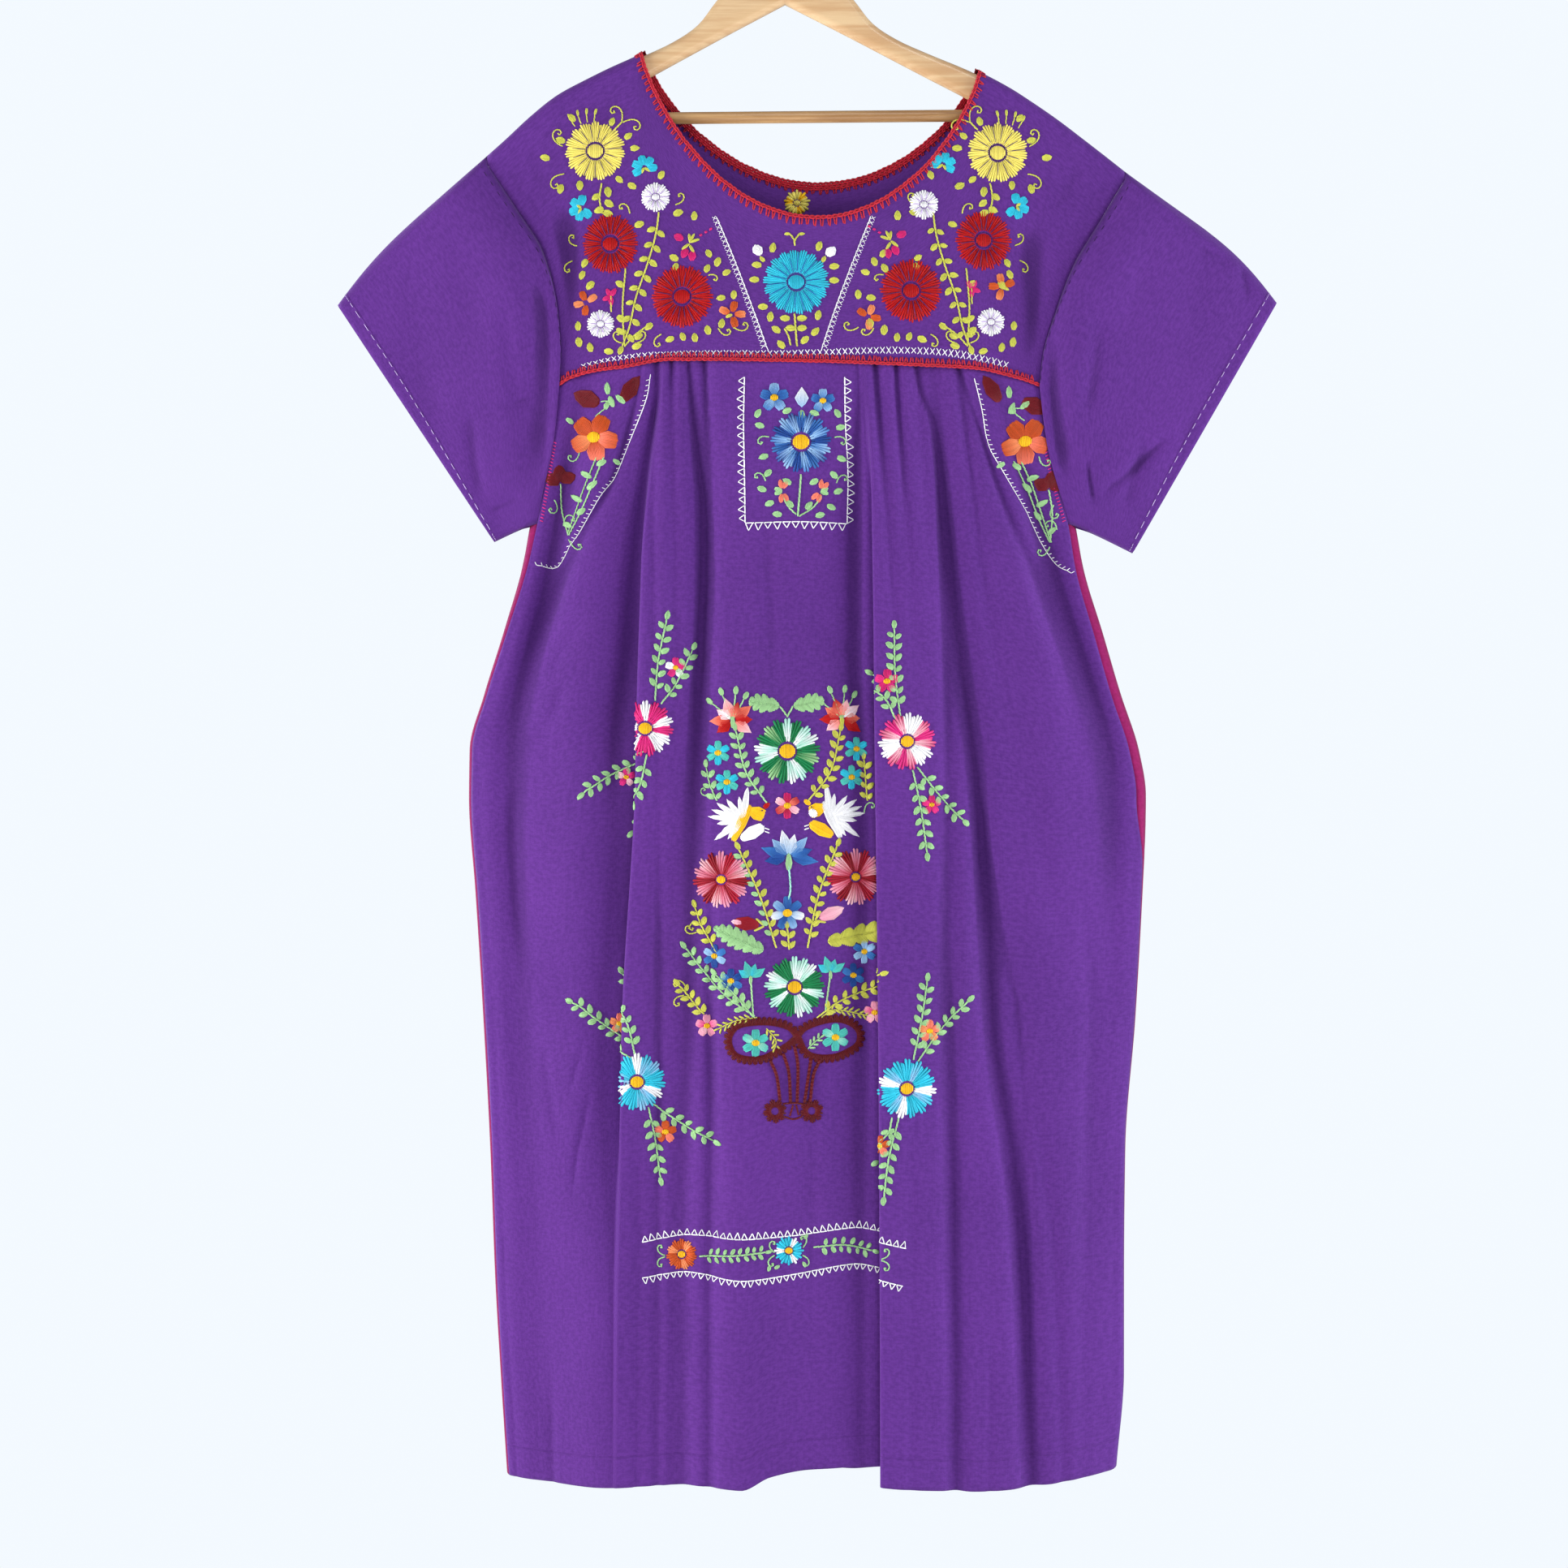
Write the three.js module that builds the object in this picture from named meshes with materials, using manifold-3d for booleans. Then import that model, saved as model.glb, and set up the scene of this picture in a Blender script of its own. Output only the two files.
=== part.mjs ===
// A Mexican embroidered dress on a wooden clothes hanger, in millimetres.
// +Z is up, +X is the right side as seen from the front, and the front faces -Y.
// The origin is the inside top of the hook, where a peg or a rail carries it.
// Every cloth piece is a thin wall round a middle surface, and pieces stay a hair apart at seams.
import * as THREE from 'three';
import { mergeVertices } from 'three/addons/utils/BufferGeometryUtils.js';
import Module from 'manifold-3d';

const wasm = await Module();
wasm.setup();

// ---------------------------------------------------------------- driving sizes
const WALL = 2;                  // thickness of the cloth walls
const HALF = WALL / 2;
const SEAM = 0.3;                // gap between two pieces at a seam
const RIDGE_RADIUS = 8;          // bend of the cloth over the hanger's rounded arm
const SEAM_Z = -406;             // ends of the yoke seam, at the armholes
const UNDERARM_Z = -517;
const HEM_Z = -1275;
const CENTRE_X = 10;             // middle of the centre panel, where the folds start from
const NECK = { centre: 21, half: 136, front: 127, back: 99, edging: 6, closing: 0.9, squareness: 1.5 };
const SIDE_STRIP = { top: 19, full: 30, taper: 80 };
const EDGING_HEIGHT = 5.2;       // crochet line over the yoke seam
const EDGE_FADE = 16;            // folds fade out this far from the panel's sides
const CROWN = 0.7;               // how full the body's outline is between its sides
const YOKE_HANG = 260;           // the yoke reaches its full depth this far under the ridge

const HANGER = {
  tilt: -0.5 * Math.PI / 180,    // it hangs a little lower on the left
  thickness: 13,
  bevel: 6.2,
  railZ: -191,
  railRadius: 4.75,
  railHalf: 195.5,
  fit: 0.3,
  wireRadius: 1.8,
  hookRadius: 16,
  stemFoot: -83.5,
};

const COLOURS = {
  cloth: 0x62309a, strip: 0xa5196e, crochet: 0xd0323c, wood: 0xd9b98a, rail: 0xa9794a, steel: 0xc9ccd0,
};

// ---------------------------------------------------------------- tables
// A table is written as its column names and a row for each station.
function table(columns, rows) {
  return rows.map((row) => Object.fromEntries(columns.map((name, at) => [name, row[at]])));
}

// The top of the shoulders and of the sleeves' start, from the left armhole to the right one.
const RIDGE = table(['x', 'z'], [
  [-237, -222], [-223, -209.5], [-202, -190], [-181, -173.5], [-158, -161.1], [-140, -152.2],
  [-115, -140.8], [-100, -132.5], [100, -129.5], [115, -137.3], [140, -148], [158, -155.9],
  [180, -167.5], [198, -179], [219, -193.5], [240, -209.5], [260, -225], [272, -234.5],
]);

// The armhole seam on the front and back yoke, as a share of its way down.
const ARMHOLE = table(['down', 'leftX', 'leftZ', 'rightX', 'rightZ'], [
  [0.00, -237, -230, 272, -242.5],
  [0.24, -212, -268, 250, -279],
  [0.42, -192, -301, 231, -311],
  [0.68, -181, -346, 216, -351],
  [0.84, -178.5, -378, 207, -381],
  [1.00, -180, -406, 204, -406],
]);

// The yoke seam dips towards the armholes.
const YOKE_SEAM = table(['x', 'z'], [
  [-180, -406], [-170, -400], [-151, -395], [-128, -392], [-89, -386.5], [12, -388],
  [106, -391], [151, -393], [184, -399.5], [204, -406],
]);

// Half outline of the body at each height: where the front panel turns round the side,
// the radius of that turn, and how far the front and the back stand out from it.
const BODY = table(['z', 'left', 'right', 'radius', 'front', 'back'], [
  [-406, -180, 204, 8, 13, 5],
  [-440, -184, 208.5, 7.6, 14, 5],
  [-480, -190.5, 216.5, 6.8, 15, 6],
  [-517, -197, 227, 6, 16, 6],
  [-552, -203.2, 233.2, 6.3, 18, 7],
  [-604, -217, 248, 7, 21, 8],
  [-656, -232.5, 262.5, 7.5, 24, 9],
  [-700, -243.5, 276, 8, 26, 10],
  [-735, -243.7, 281.2, 8.3, 27, 10],
  [-812, -238, 278, 9, 28, 11],
  [-916, -231.5, 272, 9, 29, 12],
  [-1020, -226, 264, 9, 30, 12],
  [-1124, -222, 263, 9, 31, 13],
  [-1200, -217.5, 263, 9, 32, 13],
  [-1275, -212.5, 257, 9, 33, 14],
]);

// How far each strip's front seam has turned round the side, along the cloth.
const STRIP_TURN = table(['z', 'left', 'right'], [
  [-517, 0, 0], [-600, 4, -1], [-740, 7, 0], [-800, 8, 9], [-1275, 8, 12],
]);

// Rise of the hem above its middle height, by distance along the cloth from the centre.
const HEM_RISE = table(['along', 'rise'], [
  [-250, 7], [-229, -2], [-150, -6], [-86, -3.5], [-44, -5], [-21, 5], [11, 10.5], [66, 12],
  [95, -2.5], [183, -9], [281, 2], [292, 5],
]);

// Soft folds: their place across the dress and depth at six heights, and their half width.
// A depth above zero is a valley, below zero a ridge.
const HEIGHTS = [-406, -560, -720, -900, -1090, -1275];
const FRONT_FOLDS = table(['name', 'x', 'depth', 'width'], [
  ['pleat_1', [-102, -104, -101, -100, -100, -100], [4, 3, 2, 3, 3, 3], 5],
  ['pleat_2', [-89, -88, -86, -88, -89, -90], [4, 2, 1, 0, 1, 2], 4.5],
  ['pleat_3', [-76, -64, -67, -74, -80, -80], [4, 8, 7, 4, 3, 4], 8],
  ['pleat_4', [-63, -53, -54, -58, -58, -58], [4, 1, 0, 3, 3, 3], 5],
  ['pleat_5', [73, 84, 92, 98, 100, 100], [4, 2, 0, 0, 1, 1], 4.5],
  ['pleat_6', [89, 99, 108, 112, 114, 114], [4, 1, 0, 0, 0, 0], 4.5],
  ['pleat_7', [105, 117, 128, 130, 134, 136], [4, 2, 1, 3, 6, 5], 7],
  ['pleat_8', [119, 133, 153, 163, 188, 196], [4, 9, 9, 9, 10, 8], 9],
  ['pleat_9', [138, 158, 178, 188, 214, 222], [4, 2, 0, 1, 2, 2], 5],
  ['centre_ridge', [-30, -30, -32, -34, -34, -30], [0, -2, -3, -5, -6, -7], 22],
  ['right_hip_ridge', [178, 190, 214, 214, 228, 232], [0, -4, -5, -4, -3, -2], 22],
  ['left_hip_ridge', [-140, -150, -165, -160, -150, -146], [0, -5, -6, -4, -6, -7], 24],
  ['right_side_valley', [168, 214, 258, 262, 262, 258], [2, 9, 5, 1, 1, 1], 14],
  ['left_side_valley', [-158, -186, -214, -208, -196, -190], [2, 9, 5, 3, 2, 2], 14],
]);
const BACK_FOLDS = table(['name', 'x', 'depth', 'width'], [
  ['back_pleat_1', [-108, -112, -118, -124, -128, -130], [-3, -4, -5, -6, -7, -7], 10],
  ['back_pleat_2', [-84, -80, -78, -76, -74, -72], [-3, -3, -3, -4, -5, -6], 11],
  ['back_pleat_3', [-58, -48, -40, -34, -28, -24], [-3, -2, -2, -3, -4, -4], 13],
  ['back_pleat_4', [84, 78, 72, 66, 60, 56], [-3, -2, -3, -4, -5, -5], 13],
  ['back_pleat_5', [108, 112, 116, 120, 122, 124], [-3, -4, -4, -5, -6, -6], 11],
  ['back_pleat_6', [132, 150, 168, 176, 182, 186], [-3, -4, -5, -5, -6, -7], 11],
]);

// The two deep folds down the front, walked outwards from the centre. The angle is how far
// the cloth turns back on itself: above zero the outer part lies in front, below zero behind.
const DEEP_FOLDS = {
  right: {
    side: 1, radius: 2.4, spread: 55,
    x: [63, 73, 77, 80, 82, 82.5], angle: [0, 140, 158, 162, 165, 165], run: [2, 5, 8, 9, 10, 10],
  },
  left: {
    side: -1, radius: 2.4, spread: 42,
    x: [-96, -112, -113, -124, -132, -134], angle: [0, -110, -150, -142, -60, -25], run: [2, 5, 7, 6, 3, 2],
  },
};

// Each sleeve hem runs from its ridge down to its lowest corner.
const SLEEVES = {
  left: { side: -1, hemTop: [-357, -342], hemFoot: [-232, -531], hump: 6 },
  right: { side: 1, hemTop: [394, -340], hemFoot: [279, -540], hump: 8 },
};
const HUMP_WAY = { out: 0.62, up: 0.78 };   // the way in which a sleeve's top is humped
const HEM_RADIUS = 6;                       // bend of the sleeve's hem at its top and foot

// The sleeve's way out from the armhole: how far it stands out from the flat, how far it
// hangs over the armhole seam, and how far it clears the side strip under the arm.
const SLEEVE_RINGS = table(['out', 'bulge', 'over', 'clear'], [
  [0, 0, 0, 1.4], [0.05, 6, 5, 3], [0.12, 12, 6, 2.6], [0.22, 14, 3, 1], [0.38, 12, 0, 0],
  [0.58, 9, 0, 0], [0.8, 6, 0, 0], [1, 4, 0, 0],
]);

// Upper and lower edges of the wooden hanger's arm, before it tilts.
const ARM_TOP = [
  [0, -70], [22, -72.5], [40, -82], [55, -98], [70, -117], [90, -130.5], [115, -142], [140, -152.5],
  [158, -161], [180, -173], [195, -183.5], [204, -193.5],
];
const ARM_FOOT = [[206, -199], [199, -204.5], [188, -201.5], [143, -176.5], [108, -158], [50, -127], [0, -101]];

// ---------------------------------------------------------------- small tools
const clamp = (value, low, high) => Math.min(Math.max(value, low), high);
const mix = (from, to, share) => from + (to - from) * share;
const smooth = (share) => {
  const t = clamp(share, 0, 1);
  return t * t * (3 - 2 * t);
};
const fade = (share) => (share < 1 ? (Math.cos(Math.PI * Math.max(share, 0)) + 1) / 2 : 0);

// A smooth value between stations that never overshoots them.
function between(places, values, at) {
  const rising = places[places.length - 1] > places[0] ? 1 : -1;
  const last = places.length - 1;
  if ((at - places[0]) * rising <= 0) return values[0];
  if ((at - places[last]) * rising >= 0) return values[last];
  const i = places.findIndex((place) => (place - at) * rising > 0) - 1;
  const slope = (k) => (values[k + 1] - values[k]) / (places[k + 1] - places[k]);
  const tangent = (k) => {
    if (k === 0) return slope(0);
    if (k === last) return slope(last - 1);
    const [before, after] = [slope(k - 1), slope(k)];
    return before * after <= 0 ? 0 : (2 * before * after) / (before + after);
  };
  const width = places[i + 1] - places[i];
  const t = (at - places[i]) / width;
  const rest = 1 - t;
  return values[i] * rest * rest * (1 + 2 * t) + values[i + 1] * t * t * (3 - 2 * t)
    + tangent(i) * width * rest * rest * t - tangent(i + 1) * width * t * t * rest;
}

const read = (rows, key, column, at) => between(rows.map((r) => r[key]), rows.map((r) => r[column]), at);
const body = (column, z) => read(BODY, 'z', column, z);
const ridgeZ = (x) => read(RIDGE, 'x', 'z', x);
const seamZ = (x) => read(YOKE_SEAM, 'x', 'z', x);

// Shares from 0 to 1 with a given number of steps in each stretch.
function steps(...stretches) {
  const shares = [0];
  for (const [upTo, count] of stretches) {
    const from = shares[shares.length - 1];
    for (let i = 1; i <= count; i += 1) shares.push(mix(from, upTo, i / count));
  }
  return shares;
}

// ---------------------------------------------------------------- cloth surfaces
function foldDepth(folds, x, z) {
  return folds.reduce((sum, fold) => {
    const off = (x - between(HEIGHTS, fold.x, z)) / fold.width;
    return sum + between(HEIGHTS, fold.depth, z) * Math.exp(-off * off);
  }, 0);
}

// How far a panel stands out at x: round at both sides, with its folds fading out there.
function panelY(x, z, column, folds, face) {
  const left = body('left', z);
  const right = body('right', z);
  const share = clamp((x - left) / (right - left), 0, 1);
  const edge = Math.min(x - left, right - x);
  const out = body('radius', z) + body(column, z) * Math.sin(Math.PI * share) ** CROWN;
  return face * out + foldDepth(folds, x, z) * smooth(edge / EDGE_FADE);
}
const frontY = (x, z) => panelY(x, z, 'front', FRONT_FOLDS, -1);
const backY = (x, z) => panelY(x, z, 'back', BACK_FOLDS, 1);

// The deep fold on one side at one height.
function deepFold(fold, z) {
  const turned = between(HEIGHTS, fold.angle, z) * Math.PI / 180;
  const angle = Math.abs(turned);
  const run = between(HEIGHTS, fold.run, z);
  const shift = 2 * fold.radius * Math.sin(angle) + run * Math.cos(angle);
  const middle = Math.abs(between(HEIGHTS, fold.x, z) - CENTRE_X);
  return {
    angle,
    run,
    shift,
    sign: Math.sign(turned) || 1,
    radius: fold.radius,
    spread: fold.spread,
    length: 2 * fold.radius * angle + run,
    start: middle - shift / 2,
    height: 2 * fold.radius * (1 - Math.cos(angle)) + run * Math.sin(angle),
  };
}

// A point inside the fold, by distance along the cloth from where it starts to turn.
function insideFold(fold, along) {
  const bend = fold.radius * fold.angle;
  if (along < bend) {
    const turn = along / fold.radius;
    return [fold.radius * Math.sin(turn), -fold.radius * (1 - Math.cos(turn))];
  }
  if (along > fold.length - bend) {
    const turn = (fold.length - along) / fold.radius;
    return [
      fold.shift - fold.radius * Math.sin(turn),
      -fold.height + fold.radius * (1 - Math.cos(turn)),
    ];
  }
  const straight = along - bend;
  return [
    fold.radius * Math.sin(fold.angle) + straight * Math.cos(fold.angle),
    -fold.radius * (1 - Math.cos(fold.angle)) - straight * Math.sin(fold.angle),
  ];
}

const sideOf = (side) => (side > 0 ? 'right' : 'left');
const frontHalf = (side, z) => Math.abs(body(sideOf(side), z) - CENTRE_X);
const takenUp = (side, z) => {
  const fold = deepFold(DEEP_FOLDS[sideOf(side)], z);
  return fold.length - fold.shift;
};
const frontReach = (side, z) => frontHalf(side, z) + takenUp(side, z);

// A point of the body's loop at one height, by distance along the cloth from the front's
// centre: over the front with its deep fold, round the side, and on to the back.
function loopPoint(side, along, z) {
  const fold = deepFold(DEEP_FOLDS[sideOf(side)], z);
  const reach = frontReach(side, z);
  if (along <= reach) {
    let x = along;
    let lift = fold.sign * (fold.height / 2) * fade((fold.start - along) / fold.spread);
    if (along > fold.start + fold.length) {
      x = along - fold.length + fold.shift;
      lift = -fold.sign * (fold.height / 2) * fade((x - fold.start - fold.shift) / fold.spread);
    } else if (along > fold.start) {
      const [foldX, foldY] = insideFold(fold, along - fold.start);
      x = fold.start + foldX;
      lift = fold.sign * (fold.height / 2 + foldY);
    }
    const worldX = CENTRE_X + side * x;
    return [worldX, frontY(worldX, z) + lift];
  }
  const radius = body('radius', z);
  const edgeX = body(sideOf(side), z);
  const turn = (along - reach) / radius;
  if (turn <= Math.PI) return [edgeX + side * radius * Math.sin(turn), -radius * Math.cos(turn)];
  const x = edgeX - side * (along - reach - Math.PI * radius);
  return [x, backY(x, z)];
}

// Real height of a point: the yoke seam dips, and the hem rises and falls with the folds.
const hemRise = (along) => read(HEM_RISE, 'along', 'rise', along);
const clothZ = (down, x, rise) => mix(seamZ(x), HEM_Z + rise, down);
const heightAt = (down) => mix(SEAM_Z, HEM_Z, down);
const downAt = (z) => (z - SEAM_Z) / (HEM_Z - SEAM_Z);

// The yoke hangs from the ridge: round over the hanger's arm, then slowly further out.
function yokeY(x, z, face) {
  const below = ridgeZ(x) - z;
  const round = RIDGE_RADIUS * Math.sqrt(1 - (1 - clamp(below / RIDGE_RADIUS, 0, 1)) ** 2);
  const left = armholeX('left', z);
  const right = armholeX('right', z);
  const share = clamp((x - left) / (right - left), 0, 1);
  const out = body(face < 0 ? 'front' : 'back', SEAM_Z);
  const hang = smooth(below / YOKE_HANG) * Math.sin(Math.PI * share) ** CROWN;
  return face * (round + out * hang);
}

function armholeX(name, z) {
  const rows = ARMHOLE.map((row) => ({ x: row[`${name}X`], z: row[`${name}Z`] }));
  return read(rows, 'z', 'x', z);
}

// ---------------------------------------------------------------- walls
const vector = (point) => new THREE.Vector3(...point);

// Two pieces that meet use the same wall direction at their seam, so their edges stay parallel.
function ridgeNormal(x) {
  const slope = (ridgeZ(x + 2) - ridgeZ(x - 2)) / 4;
  return new THREE.Vector3(-slope, 0, 1).normalize();
}
function yokeNormal(x, z, face) {
  const below = clamp((ridgeZ(x) - z) / RIDGE_RADIUS, 0, 1);
  const level = Math.sqrt(1 - (1 - below) ** 2);
  return ridgeNormal(x).multiplyScalar(1 - below).add(new THREE.Vector3(0, face * level, 0)).normalize();
}
function loopNormal(side, along, z) {
  const [before, after] = [loopPoint(side, along - 1, z), loopPoint(side, along + 1, z)];
  const [x, y] = [after[0] - before[0], after[1] - before[1]];
  return new THREE.Vector3(side * y, -side * x, 0).normalize();
}

// Outward direction at each point of a grid of rows, from its neighbours.
function gridNormals(rows, closed) {
  return rows.map((row, i) => row.map((_, j) => {
    const last = row.length - 1;
    const next = closed ? (j + 1) % row.length : Math.min(j + 1, last);
    const before = closed ? (j + last) % row.length : Math.max(j - 1, 0);
    const down = new THREE.Vector3().subVectors(
      rows[Math.min(i + 1, rows.length - 1)][j], rows[Math.max(i - 1, 0)][j]);
    const across = new THREE.Vector3().subVectors(row[next], row[before]);
    return down.cross(across).normalize();
  }));
}

// A closed wall round a grid of points. A closed grid joins each row's end to its start.
function wallGeometry(rows, normals, closed = false, thickness = WALL) {
  const width = rows[0].length;
  const layer = rows.length * width;
  const positions = [];
  for (const side of [0.5, -0.5]) {
    rows.forEach((row, i) => row.forEach((point, j) => {
      const moved = point.clone().addScaledVector(normals[i][j], side * thickness);
      positions.push(moved.x, moved.y, moved.z);
    }));
  }
  const index = [];
  const quad = (a, b, c, d) => index.push(a, b, c, a, c, d);
  const at = (i, j) => i * width + (j % width);
  const spans = closed ? width : width - 1;
  for (let i = 0; i < rows.length - 1; i += 1) {
    for (let j = 0; j < spans; j += 1) {
      const corners = [at(i, j), at(i + 1, j), at(i + 1, j + 1), at(i, j + 1)];
      quad(...corners);
      quad(...corners.map((corner) => corner + layer).reverse());
    }
  }
  const rim = (a, b) => quad(a, b, b + layer, a + layer);
  for (let j = 0; j < spans; j += 1) {
    rim(at(0, j), at(0, j + 1));
    rim(at(rows.length - 1, j + 1), at(rows.length - 1, j));
  }
  if (!closed) {
    for (let i = 0; i < rows.length - 1; i += 1) {
      rim(at(i + 1, 0), at(i, 0));
      rim(at(i, width - 1), at(i + 1, width - 1));
    }
  }
  const geometry = new THREE.BufferGeometry();
  geometry.setAttribute('position', new THREE.Float32BufferAttribute(positions, 3));
  geometry.setIndex(index);
  geometry.computeVertexNormals();
  return geometry;
}

const dress = new THREE.Group();
function add(name, geometry, colour, roughness = 0.9, metalness = 0, parent = dress) {
  const material = new THREE.MeshStandardMaterial({ color: colour, roughness, metalness });
  const mesh = new THREE.Mesh(geometry, material);
  mesh.name = name;
  parent.add(mesh);
}

const flat = (normal) => new THREE.Vector3(normal.x, normal.y, 0).normalize();

// ---------------------------------------------------------------- skirt
// Rows from the yoke seam to the hem. The first ones meet the sleeve along the armhole.
const ARM_ROWS = [0, 1, 2, 3].map((i) => mix(0, downAt(UNDERARM_Z), i / 3));
const SKIRT_ROWS = [...ARM_ROWS, ...steps([1, 17]).slice(1).map((s) => mix(ARM_ROWS[3], 1, s))];

const FOLD_STEPS = steps([0.32, 3], [0.68, 2], [1, 3]);
const CENTRE_STEPS = { right: steps([0.35, 2], [1, 8]), left: steps([0.4, 3], [0.62, 4], [1, 9]) };
const OUTER_STEPS = { right: steps([0.3, 12], [0.5, 5], [1, 8]), left: steps([0.5, 6], [1, 8]) };
const TURN_STEPS = 2;

// Places of the columns on one side of the front panel at one height, from the centre outwards.
function frontColumns(side, z) {
  const name = sideOf(side);
  const fold = deepFold(DEEP_FOLDS[name], z);
  const bend = fold.radius * fold.angle;
  const end = fold.start + fold.length;
  const reach = frontReach(side, z);
  const turn = z >= UNDERARM_Z ? 0 : read(STRIP_TURN, 'z', name, z);
  const places = CENTRE_STEPS[name].map((share) => share * fold.start);
  FOLD_STEPS.slice(1).forEach((share) => {
    if (share <= 0.32) places.push(fold.start + bend * share / 0.32);
    else if (share <= 0.68) places.push(fold.start + bend + fold.run * (share - 0.32) / 0.36);
    else places.push(end - bend * (1 - share) / 0.32);
  });
  const outer = reach + Math.min(turn, 0) - 4 - end;
  OUTER_STEPS[name].slice(1).forEach((share) => places.push(end + outer * share));
  const foot = end + outer;
  for (let i = 1; i <= TURN_STEPS + 1; i += 1) {
    places.push(mix(foot, reach + turn - SEAM / 2, i / (TURN_STEPS + 1)));
  }
  return places;
}

function frontRow(down) {
  const z = heightAt(down);
  const point = (side, along) => {
    const [x, y] = loopPoint(side, along, z);
    return new THREE.Vector3(x, y, clothZ(down, x, hemRise(side * along)));
  };
  const left = frontColumns(-1, z).slice(1).reverse().map((along) => point(-1, along));
  const right = frontColumns(1, z).map((along) => point(1, along));
  return [...left, ...right];
}

// The skirt starts just under the yoke, and its edges are cut level with their neighbours'.
function skirtWall(rows, edgeNormal) {
  rows[0].forEach((point) => { point.z -= SEAM; });
  const normals = gridNormals(rows, false).map((row) => row.map(flat));
  normals.forEach((row, i) => {
    const z = heightAt(SKIRT_ROWS[i]);
    row[0] = edgeNormal(0, z);
    row[row.length - 1] = edgeNormal(1, z);
  });
  return wallGeometry(rows, normals);
}
const frontEdgeNormal = (end, z) => {
  const side = end ? 1 : -1;
  return z > UNDERARM_Z ? new THREE.Vector3(0, -1, 0) : loopNormal(side, stripStart(side, z), z);
};
const backEdgeNormal = (end, z) => {
  const side = end ? -1 : 1;
  return z > UNDERARM_Z ? new THREE.Vector3(0, 1, 0) : loopNormal(side, stripEnd(side, z), z);
};

const stripWidth = (z) => mix(SIDE_STRIP.top, SIDE_STRIP.full, smooth((UNDERARM_Z - z) / SIDE_STRIP.taper));

// How far round its loop a strip ends, where the back panel starts.
const stripStart = (side, z) => frontReach(side, z) + read(STRIP_TURN, 'z', sideOf(side), z);
const stripEnd = (side, z) => stripStart(side, z) + stripWidth(z);

add('skirt_front', skirtWall(SKIRT_ROWS.map(frontRow), frontEdgeNormal), COLOURS.cloth);

const BACK_HEM_SAG = 8;
const BACK_COLUMNS = steps([0.12, 2], [0.45, 7], [0.62, 2], [0.9, 6], [1, 2]);
function backRow(down) {
  const z = heightAt(down);
  const edge = (side) => {
    if (z >= UNDERARM_Z - 1e-6) return body(sideOf(side), z) - side * SEAM / 2;
    return loopPoint(side, stripEnd(side, z) + SEAM / 2, z)[0];
  };
  const [fromX, toX] = [edge(1), edge(-1)];
  return BACK_COLUMNS.map((share) => {
    const x = mix(fromX, toX, share);
    const sides = [1, -1].map((side) => hemRise(side * stripEnd(side, z)));
    const rise = mix(...sides, share) - BACK_HEM_SAG * Math.sin(Math.PI * share);
    return new THREE.Vector3(x, backY(x, z), clothZ(down, x, rise));
  });
}
add('skirt_back', skirtWall(SKIRT_ROWS.map(backRow), backEdgeNormal), COLOURS.cloth);

for (const side of [-1, 1]) {
  const rows = SKIRT_ROWS.slice(3).map((down) => {
    const z = heightAt(down);
    const [from, to] = [stripStart(side, z) + SEAM / 2, stripEnd(side, z) - SEAM / 2];
    return steps([1, 6]).map((share) => {
      const along = mix(from, to, share);
      const [x, y] = loopPoint(side, along, z);
      return new THREE.Vector3(x, y, clothZ(down, x, hemRise(side * along)));
    });
  });
  rows[0].forEach((point) => { point.z -= SEAM; });
  const ordered = side > 0 ? rows : rows.map((row) => row.reverse());
  const normals = gridNormals(ordered, false).map((row) => row.map(flat));
  normals.forEach((row, i) => {
    const z = heightAt(SKIRT_ROWS[i + 3]);
    const ends = [loopNormal(side, stripStart(side, z), z), loopNormal(side, stripEnd(side, z), z)];
    if (side < 0) ends.reverse();
    row[0] = ends[0];
    row[row.length - 1] = ends[1];
  });
  add(`side_strip_${sideOf(side)}`, wallGeometry(ordered, normals), COLOURS.strip);
}

// ---------------------------------------------------------------- yokes
// A point of the neckline, or of a line inside it, at an angle from its left end to its right end.
function neckPoint(angle, inset, face) {
  const half = NECK.half - inset;
  const x = NECK.centre - half * Math.cos(angle);
  const [leftZ, rightZ] = [ridgeZ(NECK.centre - half), ridgeZ(NECK.centre + half)];
  const chord = mix(leftZ, rightZ, (1 - Math.cos(angle)) / 2);
  const drop = (face < 0 ? NECK.front : NECK.back) - inset * NECK.closing;
  const z = Math.min(chord - drop * Math.sin(angle) ** NECK.squareness, ridgeZ(x));
  return [x, z];
}

const BAND = [0, 30, 60, 90].map((degrees) => degrees * Math.PI / 180);
const NECK_ANGLES = [0, 2.6, 5.2, 9.5, 20, 32, 44, 56, 68, 79];
const NECK_TURNS = [...NECK_ANGLES, 90, ...NECK_ANGLES.map((angle) => 180 - angle).reverse()]
  .map((degrees) => degrees * Math.PI / 180);
const SHOULDER_SPANS = 5;
const YOKE_ROWS = 6;
const FOOT_CROWDING = 0.75;      // the yoke's lower edge has its points closer together at both ends

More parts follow.
